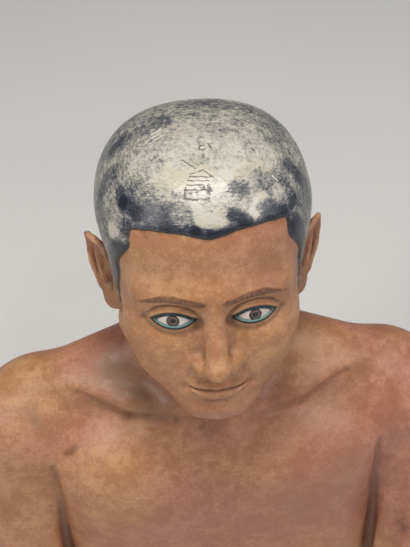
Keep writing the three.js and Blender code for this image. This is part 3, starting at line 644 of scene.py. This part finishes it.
# Placed in the upright frame, on the skin: gold and grey tones, and painted shade under the collarbones,
# under the chin and along the arms
GOLD = [
    ((-80, 14, -59), (-61, 0, -62), 12, 0.8),
    ((-46, -22, -87), (-39, -27, -101), 13, 0.7),
    ((-70, -14, -95), (-60, -18, -80), 9, 0.4),
    ((2, -23, -87), (17, -25, -89), 10, 0.4),
    ((60, -5, -69), (76, 15, -57), 11, 0.5),
    ((36, 5, -51), (50, 6, -53), 9, 0.5),
]
GREY = [
    ((-42, 6, -50), (-26, -9, -60), 9, 0.9),
    ((-73, -2, -64), (-70, -6, -69), 3, 0.7),
    ((-82, 4, -72), (-84, -2, -82), 5, 0.35),
    ((32, -28, -104), (51, -23, -93), 14, 0.5),
    ((20, -20, -75), (48, -8, -70), 9, 0.3),
]
# Painted shade strokes: under the collarbones, in the neck pit, under the chin and in the creases along the
# arms
SHADE_STROKES = [
    ((-50, -1, -61), (-35.6, -7.3, -65.9), 2.2, 0.45),
    ((-35.6, -7.3, -65.9), (-16, -13.2, -63.8), 2.2, 0.55),
    ((34, -7.7, -65.3), (50, -0.9, -61.2), 2, 0.15),
    ((-4.5, -16.4, -65), (-1, -17, -74), 5, 0.2),
    ((0, -4, -52), (0, -13, -60), 14, 0.36),
    ((-32, 2, -50), (-16, -10, -54), 9, 0.24),
    ((90, -4, -100), (92, -18, -165), 16, 0.2),
    ((77, -18, -108), (76, -26, -165), 9, 0.24),
    ((-92, -4, -105), (-94, -18, -165), 14, 0.15),
    ((-82, -14, -100), (-82, -28, -165), 12, 0.16),
    ((-60, -11.4, -81.5), (-57.5, -11.4, -80), 1.5, 0.8),
    ((77, -23, -132), (78.5, -25, -137), 2, 0.5),
]


def build_body():
    """The carved block with its two eye sockets. Its cells are finest on the face and the ears."""
    cut = -EYE_LEVEL / UNIT
    step = 1.0
    half = [(0, 32, 0.74), (32, 46, 0.8), (46, 60, 2.4), (60, 72, 1), (72, 108, 3)]
    spans = [(-e, -s, d * step) for s, e, d in half[::-1]] + [(s, e, d * step) for s, e, d in half]
    xs = spread(*spans)
    ys = spread((-52, -22, 0.72 * step), (-22, 14, 0.95 * step), (14, 64, 2.1 * step))
    low = [(cut - 4, cut, 2), (cut, -74, 2.6 * step), (-74, -46, 1.4 * step)]
    zs = spread(*low, (-46, 12, 0.74 * step), (12, 58, 1.15 * step))
    value = sample(carving, (xs, ys, zs))
    value = np.maximum(value, (cut - zs)[None, None, :])
    points, faces = wrap(value, (xs, ys, zs))
    points *= UNIT
    points[:, 2] += EYE_LEVEL
    body = new_object("statue_body_carved", points.tolist(), faces.tolist())
    for side in (1, -1):
        cutter = almond_plate("cutter", 0, SOCKET_CUT_ABOVE, -SOCKET_DEPTH, side)
        combine(body, cutter, "DIFFERENCE")
    smooth(body, BODY_SHARP_ANGLE)
    return body


def paint_guides(body):
    """Numbers for the paint on each point: hair line, worn patches, tones and painted shade, brows,
    hollows.
    """
    points = points_of(body)
    points[:, 2] -= EYE_LEVEL
    points /= UNIT
    p = tuple(points.T)
    q = to_head(p)
    x = np.abs(q[0])
    # The ears carry skin paint, whatever the hair line says behind them
    on_ear = np.zeros(len(x))
    high = (p[2] > -40) & (x > 30)
    beside = tuple(c[high] for c in q)
    bowl = egg(to_ear(beside), (-0.2, -2.4, 0.4), (3.2, 5.4, 4))
    on_ear[high] = ramp(0.7, 0.3, np.minimum(ear(beside), bowl))
    hair = hair_depth(q)
    hair = hair * (1 - on_ear) - 3 * on_ear
    give(body, "hair", np.clip(hair, -20, 20))
    give(body, "ear", on_ear)
    bare = 0.26 + 0.12 * ramp(10, 33, x) + 0.1 * ramp(-6, 26, q[1])
    give(body, "paint", bare + strokes(q, HAIR_PAINT, clear=True))
    # Gold and grey tones, and painted shade from the shade strokes as the third number
    give(body, "tones", np.stack([strokes(p, GOLD), strokes(p, GREY), strokes(p, SHADE_STROKES)], 1))
    give(body, "face", ramp(-52, -38, q[2]) * ramp(14, 2, q[1]))
    give(body, "head", ramp(-50, -40, p[2]))
    # Where the arm folds lie, for the painted shade in them
    give(body, "fold", ramp(0.5, -0.8, fold_at_arm((np.abs(p[0]), p[1], p[2]))))
    width = 1.2 * ramp(1.5, 5, x) * ramp(28, 16, x) + 0.3
    brow = np.where(q[1] < -14, width - np.abs(q[2] - brow_line(x) + 0.1), -9)
    brow = np.minimum(brow, np.minimum(x - 2.6, 26.5 - x))
    give(body, "brow", np.clip(brow, -6, 3))
    m, line = mouth_line(x)
    lip = np.minimum(4.2 * m ** 0.8 - np.abs(q[2] - line + 0.3), (-20 - q[1]) * 0.5)
    give(body, "lips", np.clip(lip, -6, 3))
    u, v, w = to_eye(q)
    rim = np.where(w > -9, almond_distance(u * UNIT_MM, v * UNIT_MM), 9)
    give(body, "eye_line", np.clip(rim, -4, 9))
    # How much the surface bends, at two sizes: positive on edges, negative in hollows
    middle = carving(points)
    for name, h in (("curve", 0.9), ("hollow", 3.2)):
        around = sum(carving(points + s * h * np.eye(3)[a]) for a in range(3) for s in (1, -1))
        give(body, name, np.clip((around - 6 * middle) / h, -2, 2))
    # Flat coordinates for the marks on the front of the hair cap
    off = np.array(Vector((1, 0, 0)).cross(MARKS_UP))
    local = np.stack(q, 1) - MARKS_AT
    give(body, "marks", np.stack([local[:, 0], local @ np.array(MARKS_UP), local @ off], 1))


# Materials
def colour(red, green, blue):
    """A colour from its usual 0 to 255 values."""
    parts = [c / 255 for c in (red, green, blue)]
    linear = [c / 12.92 if c <= 0.04045 else ((c + 0.055) / 1.055) ** 2.4 for c in parts]
    return (*linear, 1.0)


class Paint:
    """A material, with one call for each kind of node that it needs."""

    def __init__(self, name):
        self.material = bpy.data.materials.new(name)
        self.material.use_nodes = True
        self.nodes = self.material.node_tree.nodes
        self.links = self.material.node_tree.links
        self.shader = self.nodes["Principled BSDF"]
        self.place = self.nodes.new("ShaderNodeTexCoord").outputs["Object"]

    def feed(self, socket, value):
        if isinstance(value, bpy.types.NodeSocket):
            self.links.new(value, socket)
        else:
            socket.default_value = value

    def drive(self, name, value):
        self.links.new(value, self.shader.inputs[name])

    def plain(self, values):
        """Sets what is the same all over the surface."""
        for name, value in values.items():
            self.shader.inputs[name].default_value = value

    def attribute(self, name, part="Fac"):
        node = self.nodes.new("ShaderNodeAttribute")
        node.attribute_name = name
        return node.outputs[part]

    def split(self, vector):
        node = self.nodes.new("ShaderNodeSeparateXYZ")
        self.feed(node.inputs[0], vector)
        return node.outputs[0], node.outputs[1], node.outputs[2]

    def math(self, operation, a, b=0.0, c=0.0):
        node = self.nodes.new("ShaderNodeMath")
        node.operation = operation
        for socket, value in zip(node.inputs, (a, b, c)):
            self.feed(socket, value)
        return node.outputs[0]

    def stretched(self, scale, turn):
        node = self.nodes.new("ShaderNodeMapping")
        self.feed(node.inputs["Vector"], self.place)
        node.inputs["Rotation"].default_value = turn
        node.inputs["Scale"].default_value = scale
        return node.outputs[0]

    def noise(self, scale, detail=4.0, rough=0.55, vector=None, twist=0.0):
        node = self.nodes.new("ShaderNodeTexNoise")
        self.feed(node.inputs["Vector"], self.place if vector is None else vector)
        node.inputs["Scale"].default_value = scale
        node.inputs["Detail"].default_value = detail
        node.inputs["Roughness"].default_value = rough
        node.inputs["Distortion"].default_value = twist
        return node.outputs["Fac"]

    def cells(self, scale):
        node = self.nodes.new("ShaderNodeTexVoronoi")
        self.feed(node.inputs["Vector"], self.place)
        node.inputs["Scale"].default_value = scale
        return node.outputs["Distance"]

    def fade(self, value, start, end, low=0.0, high=1.0):
        node = self.nodes.new("ShaderNodeMapRange")
        node.interpolation_type = "SMOOTHSTEP"
        for name, number in zip(("From Min", "From Max", "To Min", "To Max"), (start, end, low, high)):
            node.inputs[name].default_value = number
        self.feed(node.inputs["Value"], value)
        return node.outputs["Result"]

    def mix(self, share, a, b):
        node = self.nodes.new("ShaderNodeMix")
        node.data_type = "RGBA"
        node.clamp_factor = True
        self.feed(node.inputs[0], share)
        self.feed(node.inputs[6], a)
        self.feed(node.inputs[7], b)
        return node.outputs[2]

    def level(self, share, a, b):
        node = self.nodes.new("ShaderNodeMix")
        node.data_type = "FLOAT"
        self.feed(node.inputs[0], share)
        self.feed(node.inputs[2], a)
        self.feed(node.inputs[3], b)
        return node.outputs[0]

    def bump(self, height, depth, strength=1.0):
        node = self.nodes.new("ShaderNodeBump")
        node.inputs["Strength"].default_value = strength
        node.inputs["Distance"].default_value = depth
        self.feed(node.inputs["Height"], height)
        self.drive("Normal", node.outputs[0])

    def line(self, u, v, start, end, half_width):
        """1 on a straight mark between two points of the flat coordinates, 0 beside it."""
        along = (end[0] - start[0], end[1] - start[1])
        square = along[0] ** 2 + along[1] ** 2
        du = self.math("SUBTRACT", u, start[0])
        dv = self.math("SUBTRACT", v, start[1])
        t = self.math("MULTIPLY_ADD", dv, along[1] / square, self.math("MULTIPLY", du, along[0] / square))
        t = self.math("MINIMUM", self.math("MAXIMUM", t, 0.0), 1.0)
        gap_u = self.math("MULTIPLY_ADD", t, -along[0], du)
        gap_v = self.math("MULTIPLY_ADD", t, -along[1], dv)
        square_gap = self.math("MULTIPLY_ADD", gap_u, gap_u, self.math("MULTIPLY", gap_v, gap_v))
        gap = self.math("SQRT", square_gap)
        return self.fade(gap, half_width * 1.7, half_width * 0.3)

    def stops(self, value, rows):
        """Colours along a value, as (place, colour) rows."""
        node = self.nodes.new("ShaderNodeValToRGB")
        node.color_ramp.interpolation = "EASE"
        points = node.color_ramp.elements
        for place, tint in rows[1:-1]:
            points.new(place).color = tint
        for end, (place, tint) in ((0, rows[0]), (len(rows) - 1, rows[-1])):
            points[end].position = place
            points[end].color = tint
        self.feed(node.inputs[0], value)
        return node.outputs[0]

    def swing(self, value, amount):
        """A noise brought round zero and scaled."""
        return self.math("MULTIPLY_ADD", value, amount, -0.5 * amount)

    def total(self, *values):
        return reduce(lambda a, b: self.math("ADD", a, b), values)

    def times(self, *values):
        return reduce(lambda a, b: self.math("MULTIPLY", a, b), values)


# Marks on the front of the hair cap, as start, end and half width in its flat coordinates, in units:
# cracks in the paint and pale scratches
CRACKS = [
    ((-4.2, -4.1), (-0.4, -5.2), 0.34),
    ((-0.4, -5.2), (3.5, -5), 0.34),
    ((-4, -1.2), (3.4, -2), 0.16),
    ((-2.9, 0.3), (2.6, -0.2), 0.16),
    ((-2.4, 1.9), (4.4, 1.3), 0.16),
    ((-1.7, 3.4), (5.2, 2.7), 0.18),
    ((4.2, -0.3), (3.8, -4.7), 0.36),
    ((-3.5, -0.6), (-3.8, -4), 0.26),
    ((-1.6, 4.4), (2.8, 5.5), 0.16),
    ((2.8, 5.5), (5.8, 2.7), 0.26),
    ((-3.8, 10.5), (0.3, 6.6), 0.18),
    ((2.6, -0.1), (2.5, -1.9), 0.16),
    ((3.4, 12), (3.3, 11.4), 0.5),
    ((5.5, 17.4), (6.4, 15.3), 0.22),
    ((20, 14.6), (20.3, 13.2), 0.2),
]
SCRATCHES = [
    ((-15.2, 21.9), (-10.6, 25.2), 0.22),
    ((-14.2, 20.4), (-9.4, 23.9), 0.15),
    ((-12.9, 25.4), (-9.6, 27.7), 0.2),
    ((17.5, 38.5), (18.2, 38.2), 0.3),
    ((25.9, 3.5), (27.5, 2), 0.18),
]
# A small worn ring among them
RING_MIDDLE = (3.5, 15.4)
RING_RADIUS = 1.1


def skin_ground(n, small, fine, patch, gold, grey):
    """Red ochre over the stone, rose on the chest and more golden on the face and shoulders."""
    across = n.split(n.place)[0]
    broad = n.noise(16, 3, 0.5)
    brushed = n.noise(1, 4, 0.6, vector=n.stretched((90, 260, 700), (0.2, 0.5, 0.1)))
    face = n.attribute("face")
    warm = n.total(n.swing(broad, 1.6), n.times(gold, 0.45), n.times(face, 0.3), n.times(across, -1.4), 0.3)
    tone = n.total(n.swing(patch, 0.5), n.swing(small, 0.42), n.swing(fine, 0.36),
                   n.swing(brushed, 0.12), 0.5)
    rose = n.stops(tone, [(0.15, colour(112, 68, 50)), (0.42, colour(162, 105, 84)),
                          (0.62, colour(181, 124, 102)), (0.9, colour(212, 162, 136))])
    ochre = n.stops(tone, [(0.15, colour(112, 68, 44)), (0.42, colour(168, 118, 79)),
                           (0.62, colour(190, 142, 100)), (0.9, colour(224, 182, 134))])
    skin = n.mix(n.fade(warm, 0.1, 0.75), rose, ochre)
    skin = n.mix(n.times(n.attribute("ear"), 0.42), skin, colour(112, 70, 48))
    greyed = n.times(grey, n.fade(n.total(patch, n.swing(small, 0.5)), 0.32, 0.62, 0.25, 1))
    skin = n.mix(n.times(greyed, 0.75), skin, colour(126, 106, 82))
    flecks = n.times(n.fade(n.cells(210), 0.11, 0.05), n.fade(patch, 0.52, 0.64))
    return n.mix(n.times(flecks, 0.35), skin, colour(232, 206, 176))


def worn(n, skin, small, dark):
    """Painted shade in the hollows, the creases and the folds at the arms, and paint rubbed thin on the
    edges.
    """
    curve = n.attribute("curve")
    on_head = n.attribute("head")
    off_line = n.fade(n.math("ABSOLUTE", n.attribute("hair")), 0.6, 2.2)
    thin_hollow = n.fade(n.total(curve, n.swing(small, 0.25)), -0.1, -0.75)
    thin_hollow = n.times(thin_hollow, n.fade(on_head, 0, 1, 0.3, 1))
    wide_hollow = n.fade(n.total(n.attribute("hollow"), n.swing(small, 0.3)), -0.1, -1.3)
    wide_hollow = n.times(wide_hollow, n.fade(on_head, 0, 1, 0.25, 0.6))
    # Painted shade: darker brown in hollows and creases, and along the painted shade strokes
    shade_mask = n.math("MAXIMUM", n.times(thin_hollow, 0.65), wide_hollow)
    shade_mask = n.math("MAXIMUM", n.times(shade_mask, off_line), n.times(dark, n.fade(small, 0.25, 0.6, 1, 0.65)))
    skin = n.mix(shade_mask, skin, colour(70, 42, 29))
    # Painted shade, nearly black, deep in the fold between each arm and the chest
    skin = n.mix(n.times(n.attribute("fold"), 0.9), skin, colour(40, 22, 15))
    ridge = n.times(n.fade(curve, 0.25, 0.9), n.fade(small, 0.35, 0.6), off_line)
    return n.mix(n.times(ridge, 0.35), skin, colour(224, 178, 132))


def painted_face(n, skin, small, fine):
    """Lips, painted brows and the dark line round the inlaid eyes."""
    skin = n.mix(n.fade(n.attribute("lips"), -0.8, 0.6, 0, 0.3), skin, colour(132, 78, 56))
    edge = n.math("ADD", n.swing(small, 1.3), n.attribute("brow"))
    brow = n.times(n.fade(edge, -0.35, 0.45), n.fade(fine, 0.3, 0.65, 0.9, 0.6))
    skin = n.mix(brow, skin, colour(84, 52, 36))
    eye_line = n.fade(n.attribute("eye_line"), 0.95, 0.35)
    return n.mix(n.times(eye_line, 0.85), skin, colour(34, 40, 41))


def worn_hair(n, hair_here, streak, bits, fine, patch):
    """Black paint worn off a cream ground, in cloudy patches and fine brushed lines."""
    hatch = n.noise(1, 5, 0.65, vector=n.stretched((190, 1100, 1500), (0.3, -0.2, -0.35)), twist=0.3)
    cloud = n.noise(95, 7, 0.66, twist=0.6)
    left = n.total(n.attribute("paint"), n.swing(cloud, 0.75), n.swing(bits, 0.55),
                   n.swing(streak, 0.85), n.swing(hatch, 0.85), n.swing(fine, 0.6))
    left = n.math("ADD", left, n.fade(hair_here, 4.2, 0.4, 0, 0.34))
    hair = n.stops(left, [(0.02, colour(196, 192, 178)), (0.24, colour(172, 168, 155)),
                          (0.42, colour(130, 128, 124)), (0.58, colour(90, 91, 96)),
                          (0.76, colour(56, 60, 70)), (1.0, colour(36, 39, 48))])
    yellow = n.times(n.fade(patch, 0.5, 0.66), n.fade(left, 0.34, 0.12))
    return n.mix(n.times(yellow, 0.5), hair, colour(184, 172, 144)), left


def cap_marks(n, small, bits):
    """The cracks and the scratches. They lie on the cap's front, so places far behind are left out."""
    u, v, w = n.split(n.attribute("marks", "Vector"))
    on_front = n.fade(w, -24, -20)
    u = n.math("ADD", u, n.swing(n.noise(500, 3), 1.1))
    v = n.math("ADD", v, n.swing(n.noise(420, 3), 1.1))
    crack = 0.0
    for start, end, half_width in CRACKS:
        crack = n.math("MAXIMUM", crack, n.line(u, v, start, end, half_width))
    ring_u = n.math("SUBTRACT", u, RING_MIDDLE[0])
    ring_v = n.math("SUBTRACT", v, RING_MIDDLE[1])
    ring = n.math("SQRT", n.math("MULTIPLY_ADD", ring_u, ring_u, n.math("MULTIPLY", ring_v, ring_v)))
    ring = n.fade(n.math("ABSOLUTE", n.math("SUBTRACT", ring, RING_RADIUS)), 0.35, 0.1)
    crack = n.math("MAXIMUM", crack, n.times(ring, n.fade(small, 0.4, 0.55)))
    crack = n.times(crack, on_front, n.fade(bits, 0.35, 0.52, 0.25, 1))
    scratch = 0.0
    for start, end, half_width in SCRATCHES:
        scratch = n.math("MAXIMUM", scratch, n.line(u, v, start, end, half_width))
    return crack, n.times(scratch, on_front)


def painted_stone():
    n = Paint("painted_stone_aged")
    patch = n.noise(55, 4, 0.6, twist=0.4)
    small = n.noise(190, 5, 0.62)
    bits = n.noise(330, 5, 0.62, twist=0.4)
    fine = n.noise(700, 4, 0.6)
    grain = n.noise(2300, 2, 0.5)
    streak = n.noise(1, 5, 0.65, vector=n.stretched((520, 190, 1700), (0.35, 0.1, 0.25)), twist=0.3)
    # The third tone, dark, is painted shade laid in strokes
    gold, grey, dark = n.split(n.attribute("tones", "Vector"))
    skin = skin_ground(n, small, fine, patch, gold, grey)
    # Painted shade in the hollows, the creases and the arm folds, and paint rubbed thin on the edges
    skin = worn(n, skin, small, dark)
    skin = painted_face(n, skin, small, fine)
    hair_here = n.attribute("hair")
    hair, paint_left = worn_hair(n, hair_here, streak, bits, fine, patch)
    crack, scratch = cap_marks(n, small, bits)
    hair = n.mix(n.times(crack, 0.7), hair, colour(74, 66, 60))
    hair = n.mix(n.times(scratch, 0.85), hair, colour(238, 236, 228))
    # The edge of the cap is a thin dark line: black paint, and painted shadow under the step of the cap
    ragged = n.math("ADD", n.swing(small, 0.7), hair_here)
    hair = n.mix(n.fade(ragged, 0.5, -0.15, 0, 0.75), hair, colour(46, 42, 42))
    on_hair = n.fade(ragged, -0.6, -0.3)
    n.drive("Base Color", n.mix(on_hair, skin, hair))
    rough_skin = n.fade(small, 0.3, 0.7, 0.4, 0.56)
    rough_hair = n.fade(bits, 0.3, 0.7, 0.22, 0.36)
    n.drive("Roughness", n.level(on_hair, rough_skin, rough_hair))
    height = n.math("MULTIPLY_ADD", small, 0.5, n.math("MULTIPLY", fine, 0.3))
    height = n.math("MULTIPLY_ADD", grain, 0.12, height)
    height = n.math("MULTIPLY_ADD", n.times(streak, on_hair), 0.4, height)
    height = n.math("MULTIPLY_ADD", crack, -1.4, height)
    height = n.math("MULTIPLY_ADD", scratch, -0.5, height)
    height = n.math("MULTIPLY_ADD", n.times(n.fade(paint_left, 0.3, 0.6), on_hair), 0.35, height)
    n.bump(height, 0.0003, 0.9)
    return n.material


def patinated_copper():
    n = Paint("copper_patina")
    u, v, w = n.split(n.attribute("eye", "Vector"))
    mottle = n.noise(1500, 4, 0.6)
    # Painted light and shade: the upper arc darker under the lid, the lower arc paler where light falls;
    # the greens are the copper's own patina
    low = n.fade(v, 1.4, -1.2)
    base = n.mix(low, colour(42, 68, 68), colour(122, 158, 156))
    base = n.mix(n.fade(mottle, 0.5, 0.68, 0, 0.6), base, colour(34, 46, 46))
    base = n.mix(n.fade(mottle, 0.42, 0.3, 0, 0.5), base, colour(160, 188, 180))
    base = n.mix(n.fade(n.math("ABSOLUTE", u), 8.2, 9.6, 0, 0.6), base, colour(36, 58, 60))
    n.drive("Base Color", base)
    n.drive("Roughness", n.fade(mottle, 0.3, 0.7, 0.38, 0.6))
    n.plain({"Metallic": 0.25})
    n.bump(mottle, 0.00015, 0.7)
    return n.material


def eye_stone():
    n = Paint("eye_white_stone")
    u, v, w = n.split(n.attribute("eye", "Vector"))
    cloud = n.noise(420, 4, 0.55)
    base = n.mix(n.fade(cloud, 0.35, 0.65), colour(226, 218, 208), colour(206, 196, 186))
    base = n.mix(n.fade(n.math("ABSOLUTE", u), 3.4, 7.4, 0, 0.55), base, colour(196, 158, 148))
    # Painted shade: the top of the white darker, under the rim and the upper lid
    base = n.mix(n.fade(v, 1.8, 3.2, 0, 0.4), base, colour(120, 104, 98))
    vein = n.fade(n.math("ABSOLUTE", n.math("SUBTRACT", n.noise(520, 3), 0.5)), 0.02, 0.005, 0, 0.3)
    base = n.mix(vein, base, colour(170, 118, 108))
    n.drive("Base Color", base)
    n.plain({"Roughness": 0.28, "Coat Weight": 0.5, "Coat Roughness": 0.08})
    n.bump(cloud, 0.0001, 0.4)
    return n.material


def rock_crystal():
    n = Paint("rock_crystal_eye")
    n.plain({"Base Color": colour(250, 249, 246), "Roughness": 0.03, "IOR": 1.54, "Transmission Weight": 1})
    return n.material


def painted_iris():
    n = Paint("iris_backing")
    u, v, w = n.split(n.attribute("eye", "Vector"))
    rise = n.math("SUBTRACT", v, CRYSTAL_RISE)
    radius = n.math("SQRT", n.math("MULTIPLY_ADD", u, u, n.math("MULTIPLY", rise, rise)))
    fibre = n.noise(900, 4, 0.6)
    base = n.mix(n.fade(fibre, 0.4, 0.6), colour(118, 88, 68), colour(156, 122, 98))
    base = n.mix(n.fade(radius, 2.0, 2.5, 0, 0.9), base, colour(50, 36, 30))
    base = n.mix(n.fade(radius, 1.4, 1.2), base, colour(7, 6, 7))
    n.drive("Base Color", base)
    n.plain({"Roughness": 0.6})
    return n.material


def floor_paint():
    n = Paint("pale_floor")
    cloud = n.noise(3, 4, 0.5)
    base = n.mix(cloud, colour(206, 205, 203), colour(216, 215, 212))
    n.drive("Base Color", base)
    n.plain({"Roughness": 0.85})
    return n.material


def dress(obj, material):
    obj.data.materials.clear()
    obj.data.materials.append(material)


# The camera of the photograph: above the head, a little to the statue's right, and slightly rolled
def add_camera():
    azimuth, elevation, roll = math.radians(-3), math.radians(44), math.radians(-2.5)
    distance, focal_pixels, photo_height = 0.56, 1173.2, 547
    aim_across, aim_above_eyes, sensor = -0.0014, 0.001543, 36
    aim = Vector((aim_across, 0, EYE_LEVEL + aim_above_eyes))
    flat = math.cos(elevation)
    back = Vector((math.sin(azimuth) * flat, -math.cos(azimuth) * flat, math.sin(elevation)))
    camera = bpy.data.objects.new("camera", bpy.data.cameras.new("camera"))
    bpy.context.scene.collection.objects.link(camera)
    camera.location = aim + back * distance
    camera.rotation_mode = "QUATERNION"
    turn = Matrix.Rotation(roll, 3, "Z").to_quaternion()
    camera.rotation_quaternion = (-back).to_track_quat("-Z", "Y") @ turn
    camera.data.sensor_width = sensor
    camera.data.lens = focal_pixels / photo_height * sensor
    camera.data.clip_start = 0.01
    bpy.context.scene.camera = camera


def soft_light(place, aim, size, power, tint):
    lamp = bpy.data.lights.new("soft_light", "AREA")
    lamp.shape = "SQUARE"
    lamp.size = size
    lamp.energy = power
    lamp.color = tint
    obj = bpy.data.objects.new("soft_light", lamp)
    bpy.context.scene.collection.objects.link(obj)
    obj.location = place
    obj.rotation_mode = "QUATERNION"
    obj.rotation_quaternion = (Vector(aim) - Vector(place)).to_track_quat("-Z", "Y")


def add_surroundings():
    """A plain pale floor, four soft lights and a faint even sky."""
    half = 3
    corners = [(-half, -half, 0), (half, -half, 0), (half, half, 0), (-half, half, 0)]
    floor = new_object("floor", corners, [(0, 1, 2, 3)])
    dress(floor, floor_paint())
    floor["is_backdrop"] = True
    soft_light((0.0, -0.16, 1.75), (0, 0, 0.25), 0.4, 17, (1, 0.98, 0.95))
    soft_light((0.33, -0.73, 1.43), (0, -0.03, 0.26), 0.16, 1.9, (1, 0.99, 0.97))
    soft_light((-1.15, -0.75, 1.15), (0, -0.02, 0.2), 0.6, 11.3, (1, 0.97, 0.93))
    soft_light((1.2, -0.7, 1.05), (0, 0, 0.18), 0.7, 8, (0.99, 0.98, 0.98))
    world = bpy.data.worlds.new("studio")
    world.use_nodes = True
    sky = world.node_tree.nodes["Background"]
    sky.inputs["Color"].default_value = (0.94, 0.95, 1, 1)
    sky.inputs["Strength"].default_value = 0.1
    bpy.context.scene.world = world
    bpy.context.scene.view_settings.view_transform = "Standard"


add_camera()
add_surroundings()
body = build_body()
paint_guides(body)
dress(body, painted_stone())
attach(body, "root")
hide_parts("statue_body")

looks = {
    "rim": (patinated_copper(), "copper"),
    "white": (eye_stone(), "white_stone"),
    "crystal": (rock_crystal(), "crystal"),
    "iris": (painted_iris(), None),
}
for eye_name, eye_side in (("left", 1), ("right", -1)):
    for part_name, piece in eye_pieces(eye_name, eye_side).items():
        smooth(piece, EYE_SHARP_ANGLE)
        dress(piece, looks[part_name][0])
        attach(piece, "root")
        # The iris is sealed in the crystal and stands for no solid of its own
        if part_name != "iris":
            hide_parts(f"{eye_name}_eye_{part_name}")

boxes = {"cad": cad_box, "visual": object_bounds()}
boxes = {name: [[float(c) for c in corner] for corner in box] for name, box in boxes.items()}
